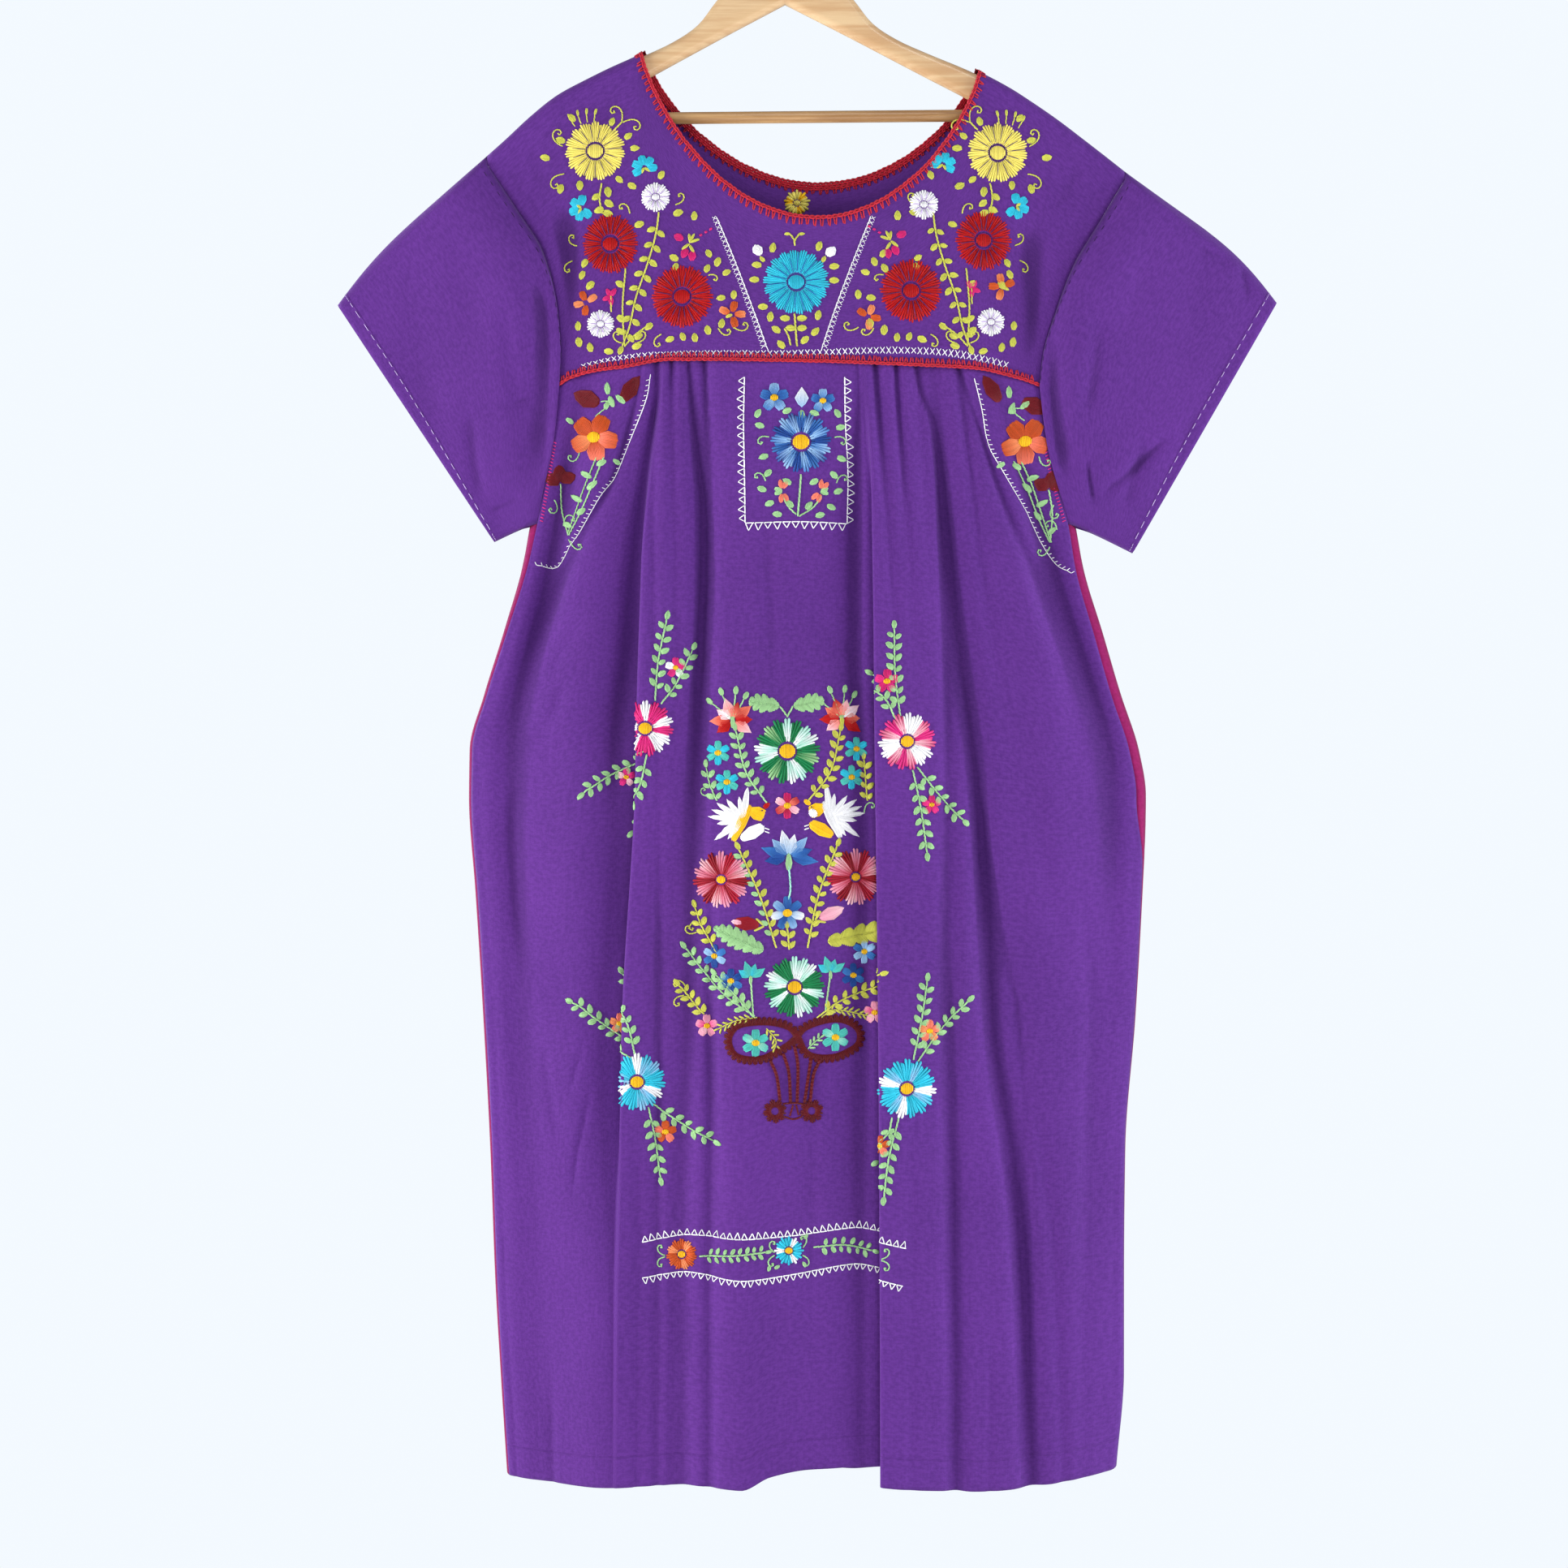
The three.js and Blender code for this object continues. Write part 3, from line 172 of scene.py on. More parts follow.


# %% [markdown]
# Hanging cotton also keeps smaller creases from being folded and worn. Each is given from one end to
# the other, with a sideways bow, a half width and a depth, so no two are alike. They fade
# out at both ends. The back and the sleeves have creases of the same kind.

# %% Creases
FRONT_PLEATS = [  # each is a list of stations: x, z, depth, half width to the left and to the right
    [(-101, -394, 1.0, 1.2, 2.4), (-100, -427, 1.8, 1.8, 4), (-107, -462, 3, 4, 5), (-114, -522, 4, 6, 6),
     (-118, -569, 4.6, 8, 6), (-121, -618, 4.4, 9, 7), (-128, -670, 3.4, 10, 8), (-143, -773, 0, 10, 9)],
    [(-90, -394, 1.0, 1, 2), (-91, -415, 1.4, 1.6, 2.6), (-95, -489, 0, 2, 3)],
    [(-77, -394, 1.2, 0.9, 2.6), (-76, -427, 2.2, 1.2, 4), (-72, -475, 3.2, 1.3, 5), (-65, -522, 4.2, 1.5, 6),
     (-64, -567, 4, 2.5, 6), (-68, -631, 3.6, 4, 7), (-74, -711, 3, 6, 8), (-83, -825, 1.4, 9, 9),
     (-86, -915, 0, 9, 9)],
    [(-63, -394, 1.0, 1.8, 1), (-61, -444, 1.6, 3, 1.2), (-58, -522, 1.8, 4, 1.4), (-56, -593, 1.2, 4, 3),
     (-57, -722, 0, 5, 5)],
    [(57, -394, 1.0, 1.6, 1.4), (60, -441, 1.8, 4, 1.6), (60, -489, 3.4, 10, 3), (59, -567, 4.8, 13, 4),
     (59, -651, 4.4, 13, 4), (63, -747, 2.6, 12, 5), (64, -941, 3.2, 16, 6), (61, -1070, 3.4, 20, 8),
     (60, -1273, 2.4, 24, 8)],
    [(70, -394, 1.0, 1.1, 2), (73, -431, 1.5, 1.8, 3), (77, -541, 0, 3, 4)],
    [(88, -394, 1.0, 1.1, 2), (89, -427, 1.7, 1.8, 3), (93, -483, 1.0, 3, 4), (96, -554, 0, 4, 5)],
    [(102, -394, 1.4, 0.9, 2.4), (106, -422, 2.4, 1.1, 4), (117, -451, 3.6, 1.3, 5), (123, -502, 4.8, 2, 7),
     (126, -567, 5.8, 3.6, 8), (128, -618, 6.0, 4.4, 9), (129, -664, 4.4, 5, 11), (130, -760, 2.8, 6, 12),
     (128, -889, 1.0, 8, 13), (128, -1108, 0.5, 8, 12), (133, -1271, 0.3, 7, 10)],
    [(141, -593, 0, 10, 3), (150, -711, 2.4, 12, 3.4), (171, -827, 3.6, 13, 3), (187, -914, 3.6, 12, 3),
     (193, -1031, 2.6, 10, 3), (195, -1157, 1.4, 8, 3.4), (197, -1250, 0, 8, 4)],
    [(136, -396, 1.2, 1.4, 2.2), (148, -432, 2.4, 2.5, 3.5), (164, -479, 4, 4, 5), (181, -522, 5, 6, 6),
     (195, -550, 5, 7, 7), (211, -593, 4, 8, 8), (224, -638, 2.5, 8, 9), (240, -722, 0, 9, 9)],
    [(-112, -399, 1.2, 2, 1.6), (-119, -438, 2.4, 4, 3), (-128, -470, 4, 5, 4), (-141, -502, 5, 6, 6),
     (-158, -531, 5, 8, 7), (-179, -570, 4.5, 9, 8), (-198, -612, 3.2, 10, 9), (-220, -702, 0, 10, 10)],
    [(162, -1134, 0, 2, 4), (162, -1192, 1.3, 2, 4), (162, -1271, 1.3, 2, 4)],
    [(-184, -1186, 0, 4, 2.4), (-184, -1231, 1.4, 4, 2.4), (-183, -1273, 1.5, 4, 2.4)],
    [(-152, -963, 0, 3, 2), (-158, -992, 1.7, 3, 2), (-164, -1021, 1.7, 3, 2), (-168, -1057, 0, 3, 2)],
    [(-158, -928, 0, 2, 3), (-165, -950, 1.5, 2, 3), (-172, -974, 0, 2, 3)],
    [(-53, -896, 0, 5, 4), (-54, -947, 1.4, 6, 4), (-52, -1012, 1.6, 6, 4), (-50, -1108, 0, 7, 5)],
    [(23, -979, 0, 6, 5), (23, -1021, 1.4, 7, 5), (22, -1076, 1.4, 8, 6), (21, -1199, 0, 9, 7)],
    [(-85, -908, 0, 16, 16), (-83, -1005, 1.8, 16, 16), (-82, -1273, 1.6, 20, 18)],
    [(-5, -941, 0, 16, 16), (-1, -1037, -1.6, 16, 16), (5, -1273, -1.4, 20, 20)],
    [(-117, -995, 0, 2, 10), (-117, -1037, 1.8, 2, 11), (-117, -1273, 1.6, 2.4, 13)],
    [(-15, -518, 0, 4, 6), (-14, -567, 1.4, 4, 6), (-11, -618, 1.4, 4, 6), (-10, -664, 0, 4, 6)],
    [(-210, -715, 0, 5, 7), (-216, -760, 1.8, 5, 7), (-213, -818, 1.8, 5, 7), (-209, -876, 0, 5, 7)],
    [(234, -799, 0, 6, 8), (244, -908, 1.6, 6, 9), (239, -1070, 1.8, 7, 9), (237, -1273, 1.4, 7, 9)]]
FRONT_CREASES = [  # from x, z to x, z, bow, half width, depth
    (-155, -600, -190, -642, 3, 4.5, 1.5), (-170, -640, -205, -700, -3, 6, 1.8),
    (20, -600, 60, -640, 5, 7, 0.9), (-60, -720, -20, -742, -3, 6, 0.8), (180, -640, 222, -668, 4, 5, 1.2),
    (196, -700, 226, -880, 4, 9, 1.8), (-190, -925, -176, -1010, 3, 4, 1.1)]
BACK_CREASES = [
    (-150, -440, -176, -560, 4, 6, 2.2), (150, -430, 190, -560, -5, 6, 2.4),
    (-20, -420, -26, -600, 3, 7, 2.0), (30, -430, 26, -640, -2, 6, 1.8),
    (-168, -700, -150, -880, 4, 8, 2.0), (200, -720, 214, -930, 4, 9, 2.2),
    (94, -860, 98, -1100, -3, 7, 1.8), (-98, -900, -104, -1180, 3, 8, 2.2),
    (12, -980, 8, -1270, 3, 8, 2.2), (-180, -1120, -176, -1276, 2, 4, 1.8),
    (232, -1080, 236, -1270, -2, 5, 1.8), (150, -1150, 156, -1280, 2, 4, 2.0),
    (-60, -640, -20, -668, 4, 6, 1.0), (110, -560, 150, -590, -4, 6, 1.0)]
YOKE_CREASES = [
    (-222, -220, -190, -292, 5, 6, 2.0), (-206, -200, -182, -262, 5, 5, 1.4),
    (-196, -300, -172, -384, 5, 5, 1.8), (256, -236, 228, -300, -5, 6, 2.0),
    (238, -214, 214, -270, -5, 5, 1.4), (222, -318, 192, -386, -5, 5, 1.8),
    (-120, -146, -150, -230, 4, 9, 1.0), (158, -162, 176, -250, -4, 9, 1.0),
    (-60, -300, -20, -372, 3, 9, 0.8), (80, -300, 50, -372, -3, 9, 0.8),
    (-172, -252, -186, -392, -3, 12, 8), (195, -268, 212, -408, 4, 13, 7)]


def crease_depth(creases, x, z):
    depth = np.zeros(np.broadcast(x, z).shape)
    for x0, z0, x1, z1, bow, width, deep in creases:
        length = math.hypot(x1 - x0, z1 - z0)
        ux, uz = (x1 - x0) / length, (z1 - z0) / length
        t = ((x - x0) * ux + (z - z0) * uz) / length
        across = (x - x0) * uz - (z - z0) * ux - bow * np.sin(np.pi * np.clip(t, 0, 1))
        ends = smooth(t / 0.3) * smooth((1 - t) / 0.3)
        depth += deep * ends * np.exp(-((across / width)**2))
    return depth


def pleat_depth(pleats, x, z):
    """Like a crease, but steeper on one side, where one fold of cloth lies over the next."""
    depth = np.zeros(np.broadcast(x, z).shape)
    for stations in pleats:
        middle, level, deep, left, right = np.array(stations, float).T
        off = x - between(level, middle, z)
        width = np.where(off < 0, between(level, left, z), between(level, right, z))
        depth += between(level, deep, z) * np.exp(-((off / width)**2))
    return depth


def slack(x, z):
    """Slow unevenness of cloth that hangs free, in millimetres."""
    return (0.55 * np.sin(x / 17 + 1.3 * np.sin(z / 71)) * np.sin(z / 53 + x / 90)
            + 0.35 * np.sin(x / 9.5 + z / 47 + 2) * np.sin(z / 31 - x / 60))


# %% [markdown]
# At each height the cloth of the skirt is one loop. A point on it is found by walking along the cloth
# from the middle of the front: over the front with its deep fold, round the side and on to the back.
# A pattern that is drawn on the flat cloth and then walked like this is cut by a fold as it is in
# a real dress, where half a flower can vanish in a pleat.

# %% The loop of the skirt
def body(column, z):
    return between(BODY["z"], BODY[column], z)


def ridge_z(x):
    return between(RIDGE["x"], RIDGE["z"], x)


def seam_z(x):
    return between(YOKE_SEAM["x"], YOKE_SEAM["z"], x)


def side_name(side):
    return "right" if side > 0 else "left"


def face_name(face):
    return "front" if face < 0 else "back"


def panel_depth(x, z, column):
    left, right = body("left", z), body("right", z)
    share = np.clip((x - left) / (right - left), 0, 1)
    depth = body("radius", z) + body(column, z) * np.sin(np.pi * share)**0.7
    return depth, smooth(np.minimum(x - left, right - x) / 16)


def front_y(x, z):
    depth, inner = panel_depth(x, z, "front")
    return -depth + inner * (fold_depth(FRONT_FOLDS, x, z) + pleat_depth(FRONT_PLEATS, x, z)
                             + crease_depth(FRONT_CREASES, x, z) + slack(x, z))


def back_y(x, z):
    depth, inner = panel_depth(x, z, "back")
    uneven = fold_depth(BACK_FOLDS, x, z) - 1.4 * crease_depth(BACK_CREASES, x, z) + slack(x, -z)
    return depth + inner * uneven


def deep_fold(side, z):
    rows = DEEP_FOLDS[side]
    turned = np.radians(between(HEIGHTS, rows["angle"], z))
    angle, run, radius = np.abs(turned), between(HEIGHTS, rows["run"], z), rows["radius"]
    shift = 2 * radius * np.sin(angle) + run * np.cos(angle)
    middle = np.abs(between(HEIGHTS, rows["x"], z) - CENTRE_X)
    return {"angle": angle, "run": run, "radius": radius, "shift": shift, "spread": rows["spread"],
            "sign": np.where(turned < 0, -1, 1), "length": 2 * radius * angle + run,
            "start": middle - shift / 2,
            "height": 2 * radius * (1 - np.cos(angle)) + run * np.sin(angle)}


def inside_fold(fold, along):
    radius, angle = fold["radius"], fold["angle"]
    bend = radius * angle
    first = along / radius
    last = (fold["length"] - along) / radius
    straight = along - bend
    x = np.where(along < bend, radius * np.sin(first),
                 radius * np.sin(angle) + straight * np.cos(angle))
    y = np.where(along < bend, -radius * (1 - np.cos(first)),
                 -radius * (1 - np.cos(angle)) - straight * np.sin(angle))
    ending = along > fold["length"] - bend
    return (np.where(ending, fold["shift"] - radius * np.sin(last), x),
            np.where(ending, -fold["height"] + radius * (1 - np.cos(last)), y))


def front_reach(side, z):
    fold = deep_fold(side, z)
    return np.abs(body(side_name(side), z) - CENTRE_X) + fold["length"] - fold["shift"]


def half_loop(side, along, z):
    fold = deep_fold(side, z)
    start, half = fold["start"], fold["sign"] * fold["height"] / 2
    end = start + fold["length"]
    fold_x, fold_y = inside_fold(fold, along - start)
    outer = along - fold["length"] + fold["shift"]
    x = np.where(along > end, outer, np.where(along > start, start + fold_x, along))
    lift = np.where(along > end, -half * fade((outer - start - fold["shift"]) / fold["spread"]),
                    np.where(along > start, half + fold["sign"] * fold_y,
                             half * fade((start - along) / fold["spread"])))
    x = CENTRE_X + side * x
    reach = front_reach(side, z)
    radius, edge = body("radius", z), body(side_name(side), z)
    turn = (along - reach) / radius
    back_x = edge - side * (along - reach - np.pi * radius)
    on_front, turning = along <= reach, turn <= np.pi
    return (np.where(on_front, x, np.where(turning, edge + side * radius * np.sin(turn), back_x)),
            np.where(on_front, front_y(x, z) + lift,
                     np.where(turning, -radius * np.cos(turn), back_y(back_x, z))))


def loop_point(across, z):
    """Place of the cloth at a signed distance from the front's centre line."""
    across, z = np.broadcast_arrays(across, z)
    right, left = half_loop(1, np.abs(across), z), half_loop(-1, np.abs(across), z)
    return [np.where(across >= 0, r, l) for r, l in zip(right, left)]


def hem_rise(across):
    return between(HEM_RISE["along"], HEM_RISE["rise"], across)


def height_at(down):
    return mix(SEAM_Z, HEM_Z, down)


def skirt_at(across, down):
    """A point of the skirt by its distance across the cloth and its share of the way down."""
    x, y = loop_point(across, height_at(down))
    return np.stack([x, y, mix(seam_z(x), HEM_Z + hem_rise(across), down)], -1)


print("cloth round the hem:", round(float(sum(front_reach(s, HEM_Z) for s in (1, -1)))), "mm over the front")

# %% [markdown]
# A flat grid is the natural start for a piece of cloth, because cloth is cut flat. The grid operator
# makes it, its points are moved on to the form all at once, and a Solidify modifier gives it the
# thickness of cotton. The flat size goes into a UV map in metres, so the weave keeps its scale and
# follows the folds.

# %% From a flat grid to cloth
COTTON = 0.6
HOLLOW_DEPTH = 4                 # mm that count as a full hollow
pieces = {}


def finish_piece(name, mesh, body_name="root"):
    mesh.polygons.foreach_set("use_smooth", np.ones(len(mesh.polygons), bool))
    piece = bpy.data.objects.new(name, mesh)
    bpy.context.scene.collection.objects.link(piece)
    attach(piece, body_name)
    pieces[name] = piece
    return piece


def poured(form, mesh):
    """Writes a bmesh into a mesh and lets go of it."""
    form.to_mesh(mesh)
    form.free()
    return mesh


def reopened(mesh):
    form = bmesh.new()
    form.from_mesh(mesh)
    return form


# Used for painted shade: the cotton darkens its colour where the cloth lies in such a hollow.
def hollow(height, rows, across, up):
    """How far each point of a grid lies below the mean of its neighbours, as a share of a full hollow."""
    grid = around = height.reshape(rows, -1)
    for axis, reach in ((0, up), (1, across)):
        widths = [(0, 0), (0, 0)]
        widths[axis] = (reach + 1, reach)
        total = np.cumsum(np.pad(around, widths, mode="edge"), axis=axis)
        size = grid.shape[axis]
        take = lambda start: np.take(total, np.arange(start, start + size), axis=axis)
        around = (take(2 * reach + 1) - take(0)) / (2 * reach + 1)
    return np.clip((around - grid) / HOLLOW_DEPTH, -1, 1)


def cloth(name, columns, rows, place, size, closed=False, thickness=COTTON, reach=(9, 0)):
    """A grid whose flat shares (across, up) are moved to their place, with its flat size in metres."""
    form = bmesh.new()
    bmesh.ops.create_grid(form, x_segments=columns, y_segments=rows, size=0.5)
    mesh = poured(form, bpy.data.meshes.new(name))
    flat = np.empty(len(mesh.vertices) * 3)
    mesh.vertices.foreach_get("co", flat)
    across, up = (flat.reshape(-1, 3)[:, :2] + 0.5).T
    corner = np.empty(len(mesh.loops), int)
    mesh.loops.foreach_get("vertex_index", corner)
    weave = mesh.uv_layers.new(name="weave")
    weave.data.foreach_set("uv", (np.stack([across, up], -1) * size)[corner].ravel())
    spots = place(across, up)
    mesh.vertices.foreach_set("co", (spots * MM).ravel())
    # The hollow attribute is read by the cotton material, which paints shade into the cloth's hollows with
    # it.
    tone = mesh.attributes.new("hollow", "FLOAT", "POINT")
    tone.data.foreach_set("value", hollow(np.abs(spots[:, 1]), rows + 1, *reach).ravel())
    if closed:
        form = reopened(mesh)
        bmesh.ops.remove_doubles(form, verts=form.verts, dist=1e-5)
        poured(form, mesh)
    piece = finish_piece(name, mesh)
    wall = piece.modifiers.new("thickness", "SOLIDIFY")
    wall.thickness = thickness * MM
    wall.offset = 0
    wall.use_even_offset = False
    return piece


# %% [markdown]
# The skirt's front is one wide panel. Its columns are crowded where the cloth turns in a deep fold,
# and wide where it hangs flat. The back panel is plainer, and a narrow magenta strip is let in
# between them at each side, from the underarm to the hem.

# %% Skirt
FRONT_COLUMNS = np.array([56, 20, 50, 32, 18, 72])
SKIRT_ROWS = 190


def strip_start(side, z):
    turn = between(STRIP_TURN["z"], STRIP_TURN[side_name(side)], z)
    return front_reach(side, z) + np.where(z < UNDERARM_Z, turn, 0)


def strip_end(side, z):
    width = mix(STRIP["top"], STRIP["full"], smooth((UNDERARM_Z - z) / STRIP["taper"]))
    return strip_start(side, z) + width


def front_place(share, up):
    z = height_at(1 - up)
    left, right = deep_fold(-1, z), deep_fold(1, z)
    stations = np.stack([-strip_start(-1, z), -left["start"] - left["length"], -left["start"],
                         np.zeros_like(z), right["start"], right["start"] + right["length"],
                         strip_start(1, z)])
    marks = np.concatenate([[0], np.cumsum(FRONT_COLUMNS)]) / FRONT_COLUMNS.sum()
    i = np.clip(np.searchsorted(marks, share, side="right") - 1, 0, len(FRONT_COLUMNS) - 1)
    part = (share - marks[i]) / (marks[i + 1] - marks[i])
    point = np.arange(len(z))
    return skirt_at(mix(stations[i, point], stations[i + 1, point], part), 1 - up)


def back_place(share, up):
    z = height_at(1 - up)
    edges = []
    for side in (1, -1):
        round_x, _ = half_loop(side, strip_end(side, z), z)
        edges.append(np.where(z >= UNDERARM_Z, body(side_name(side), z), round_x))
    x = mix(*edges, share)
    rise = mix(hem_rise(strip_end(1, z)), hem_rise(-strip_end(-1, z)), share)
    rise = rise - BACK_HEM_SAG * np.sin(np.pi * share)
    return np.stack([x, back_y(x, z), mix(seam_z(x), HEM_Z + rise, 1 - up)], -1)


def strip_place(side):
    top = (UNDERARM_Z - SEAM_Z) / (HEM_Z - SEAM_Z)

    def place(share, up):
        down = mix(1, top, up)
        z = height_at(down)
        walk = share if side > 0 else 1 - share
        return skirt_at(side * mix(strip_start(side, z), strip_end(side, z), walk), down)
    return place


FRONT_FLAT, BACK_FLAT, STRIP_FLAT = (0.56, 0.88), (0.50, 0.88), (0.030, 0.765)
skirt_front = cloth("skirt_front_cloth", int(FRONT_COLUMNS.sum()), SKIRT_ROWS, front_place, FRONT_FLAT)
skirt_back = cloth("skirt_back_cloth", 150, 170, back_place, BACK_FLAT)
strips = {side: cloth(f"side_strip_{side_name(side)}_cloth", 12, 150, strip_place(side), STRIP_FLAT)
          for side in (-1, 1)}
print("points in the skirt's front:", len(skirt_front.data.vertices))

# %% [markdown]
# The yoke is cut with a round neck and meets itself on top of the hanger's arms. Its form is a
# height for each place seen from the front: round over the arm, then hanging further out. The same
# rule makes the front and the back, mirrored, with the neckline at its own depth.

# %% Yoke
NECK_ANGLES = [0, 2.6, 5.2, 9.5, 20, 32, 44, 56, 68, 79]
NECK_TURNS = np.radians(NECK_ANGLES + [90] + [180 - angle for angle in reversed(NECK_ANGLES)])
SHOULDER_SPANS = 5
FOOT_CROWDING = 0.75
BAND_SHARE = 0.1                 # of the yoke's rows, for the bend over the hanger's arm


def armhole_x(side, z):
    return between(ARMHOLE[f"{side_name(side)}_z"], ARMHOLE[side_name(side)], z)


def yoke_y(x, z, face):
    below = ridge_z(x) - z
    bend = RIDGE_RADIUS * np.sqrt(1 - (1 - np.clip(below / RIDGE_RADIUS, 0, 1))**2)
    left, right = armhole_x(-1, z), armhole_x(1, z)
    share = np.clip((x - left) / (right - left), 0, 1)
    out = body(face_name(face), SEAM_Z)
    hang = smooth(below / 260) * np.sin(np.pi * share)**0.7
    uneven = (crease_depth(YOKE_CREASES, x, z) - slack(x * face, z)) * smooth(below / 40)
    uneven = uneven * smooth(share / 0.05) * smooth((1 - share) / 0.05) * smooth((z - seam_z(x)) / 14)
    return face * (bend + out * hang - 0.8 * uneven)


def neck_point(angle, inset, face):
    half = NECK["half"] - inset
    x = NECK["centre"] - half * np.cos(angle)
    ends = ridge_z(NECK["centre"] - half), ridge_z(NECK["centre"] + half)
    chord = mix(*ends, (1 - np.cos(angle)) / 2)
    drop = NECK[face_name(face)] - inset * 0.9
    return x, np.minimum(chord - drop * np.sin(angle)**1.5, ridge_z(x))


def yoke_top(share, face):
    spans = 2 * SHOULDER_SPANS + len(NECK_TURNS) - 1
    place = share * spans
    left, right = NECK["centre"] - NECK["half"], NECK["centre"] + NECK["half"]
    first = mix(RIDGE["x"][0], left, place / SHOULDER_SPANS)
    last = mix(RIDGE["x"][-1], right, (spans - place) / SHOULDER_SPANS)
    angle = np.interp(place - SHOULDER_SPANS, np.arange(len(NECK_TURNS)), NECK_TURNS)
    neck_x, neck_z = neck_point(angle, 0, face)
    at_left, at_right = place <= SHOULDER_SPANS, place >= spans - SHOULDER_SPANS
    x = np.where(at_left, first, np.where(at_right, last, neck_x))
    return x, np.where(at_left | at_right, ridge_z(x), neck_z)


def yoke_place(face):
    def place(share, up):
        share = share if face < 0 else 1 - share
        top_x, top_z = yoke_top(share, face)
        (end_x, start_x), (end_z, start_z) = [(v[1], v[0]) for v in yoke_top(np.array([0.0, 1.0]), face)]
        foot = lambda s: mix(ARMHOLE["left"][-1], ARMHOLE["right"][-1],
                             s - FOOT_CROWDING * np.sin(2 * np.pi * s) / (2 * np.pi))
        down = np.clip((1 - up - BAND_SHARE) / (1 - BAND_SHARE), 0, 1)
        left, left_z, right, right_z = [between(ARMHOLE["down"], ARMHOLE[name], down)
                                        for name in ("left", "left_z", "right", "right_z")]
        x = (mix(top_x, foot(share), down) + mix(left, right, share)
             - mix(mix(start_x, end_x, share), mix(foot(0), foot(1), share), down))
        start = top_z - RIDGE_RADIUS
        z = (mix(start, seam_z(foot(share)), down) + mix(left_z, right_z, share)
             - mix(mix(start_z, end_z, share) - RIDGE_RADIUS, SEAM_Z, down))
        turn = np.clip((1 - up) / BAND_SHARE, 0, 1) * np.pi / 2
        in_band = 1 - up < BAND_SHARE
        x = np.where(in_band, top_x, x)
        z = np.where(in_band, top_z - RIDGE_RADIUS * (1 - np.cos(turn)), z)
        return np.stack([x, yoke_y(x, z, face), z], -1)
    return place


YOKE_FLAT, YOKE_AREA = (0.52, 0.27), {-1: 0.088, 1: 0.094}
yokes = {face: cloth(f"yoke_{face_name(face)}_cloth", 150, 80, yoke_place(face), YOKE_FLAT)
         for face in (-1, 1)}
print("yoke:", len(yokes[-1].data.vertices), "points")

# %% [markdown]
# A sleeve is a short wide tube. It starts at the armhole, a ring that runs over the shoulder, down
# the edge of the yoke and under the arm, and ends at a straight hem. Each ring between them is
# partly one and partly the other, pushed out where the sleeve is full.

# %% Sleeves
SLEEVES = {-1: {"top": (-357, -342), "foot": (-232, -531), "hump": 6},
           1: {"top": (394, -340), "foot": (279, -540), "hump": 8}}
SLEEVE_RINGS = table("out bulge over clear", [
    [0, 0, 0, 1.4], [0.05, 6, 5, 3], [0.12, 12, 6, 2.6], [0.22, 14, 3, 1], [0.38, 12, 0, 0],
    [0.58, 9, 0, 0], [0.8, 6, 0, 0], [1, 4, 0, 0]])
RING = 28                        # stations round a sleeve
# From the ridge down one face: the bend over the ridge ends at the first of these stations, the
# yoke's edge at the second and the skirt's side at the third. Then the ring turns under the arm.
BENT, AT_SEAM, AT_ARM = 3, 9, 12
SLEEVE_CREASES = {  # from x, z to x, z, bow, half width, depth
    -1: [(-190, -280, -204, -510, -4, 16, 10), (-228, -426, -200, -416, 1, 3, 1.8),
         (-238, -508, -208, -496, 1, 3, 2.4), (-300, -300, -262, -470, 10, 13, 0.9),
         (-262, -262, -236, -380, 8, 10, 0.9), (-330, -330, -270, -440, 6, 11, 0.6),
         (-250, -420, -240, -505, 3, 6, 2.2), (-220, -330, -206, -440, 5, 7, 2.4),
         (-262, -500, -238, -520, 1, 4, 1.4)],
    1: [(206, -330, 230, -500, 4, 11, 8), (246, -500, 312, -442, 2, 3.4, 2.8),
        (242, -462, 249, -506, 1, 3, 3), (364, -308, 373, -340, 1, 3, 1.8), (325, -296, 362, -310, 1, 4, 1.4),
        (330, -300, 300, -440, -9, 13, 0.9), (290, -270, 262, -392, -7, 10, 0.9),
        (372, -350, 312, -452, -6, 11, 0.7), (288, -440, 268, -512, -3, 6, 2.2),
        (250, -340, 236, -446, -5, 7, 2.4), (330, -420, 296, -500, -4, 8, 1.2)]}


def armhole_ring(side, k):
    """The armhole by station: over the ridge, down the front, under the arm and up the back."""
    k = np.minimum(k, RING - k) + 0 * k
    ridge_x, top = RIDGE["x"][0 if side < 0 else -1], RIDGE["z"][0 if side < 0 else -1]
    turn = np.radians(30 * np.clip(k, 0, BENT))
    down = np.clip((k - BENT) / (AT_SEAM - BENT), 0, 1)
    x, z = [between(ARMHOLE["down"], ARMHOLE[side_name(side) + end], down) for end in ("", "_z")]
    x = np.where(k < BENT, ridge_x, x)
    z = np.where(k < BENT, top - RIDGE_RADIUS * (1 - np.cos(turn)), z)
    arm_z = mix(SEAM_Z, UNDERARM_Z, np.clip((k - AT_SEAM) / (AT_ARM - AT_SEAM), 0, 1))
    x = np.where(k > AT_SEAM, body(side_name(side), arm_z), x)
    z = np.where(k > AT_SEAM, arm_z, z)
    depth = np.where(k > AT_SEAM, body("radius", arm_z),
                     RIDGE_RADIUS * np.sin(np.clip(turn, 0, np.pi / 2)))
    under = np.radians(45 * np.clip(k - AT_ARM, 0, 2))
    radius = body("radius", np.array(float(UNDERARM_Z)))
    x = np.where(k > AT_ARM, x + side * radius * np.sin(under), x)
    return x, np.where(k > AT_ARM, radius * np.cos(under), depth), z


STATIONS = np.arange(AT_ARM + 1.0)
FOLD_RADIUS = 6                  # of the sleeve's hem, over and under the arm


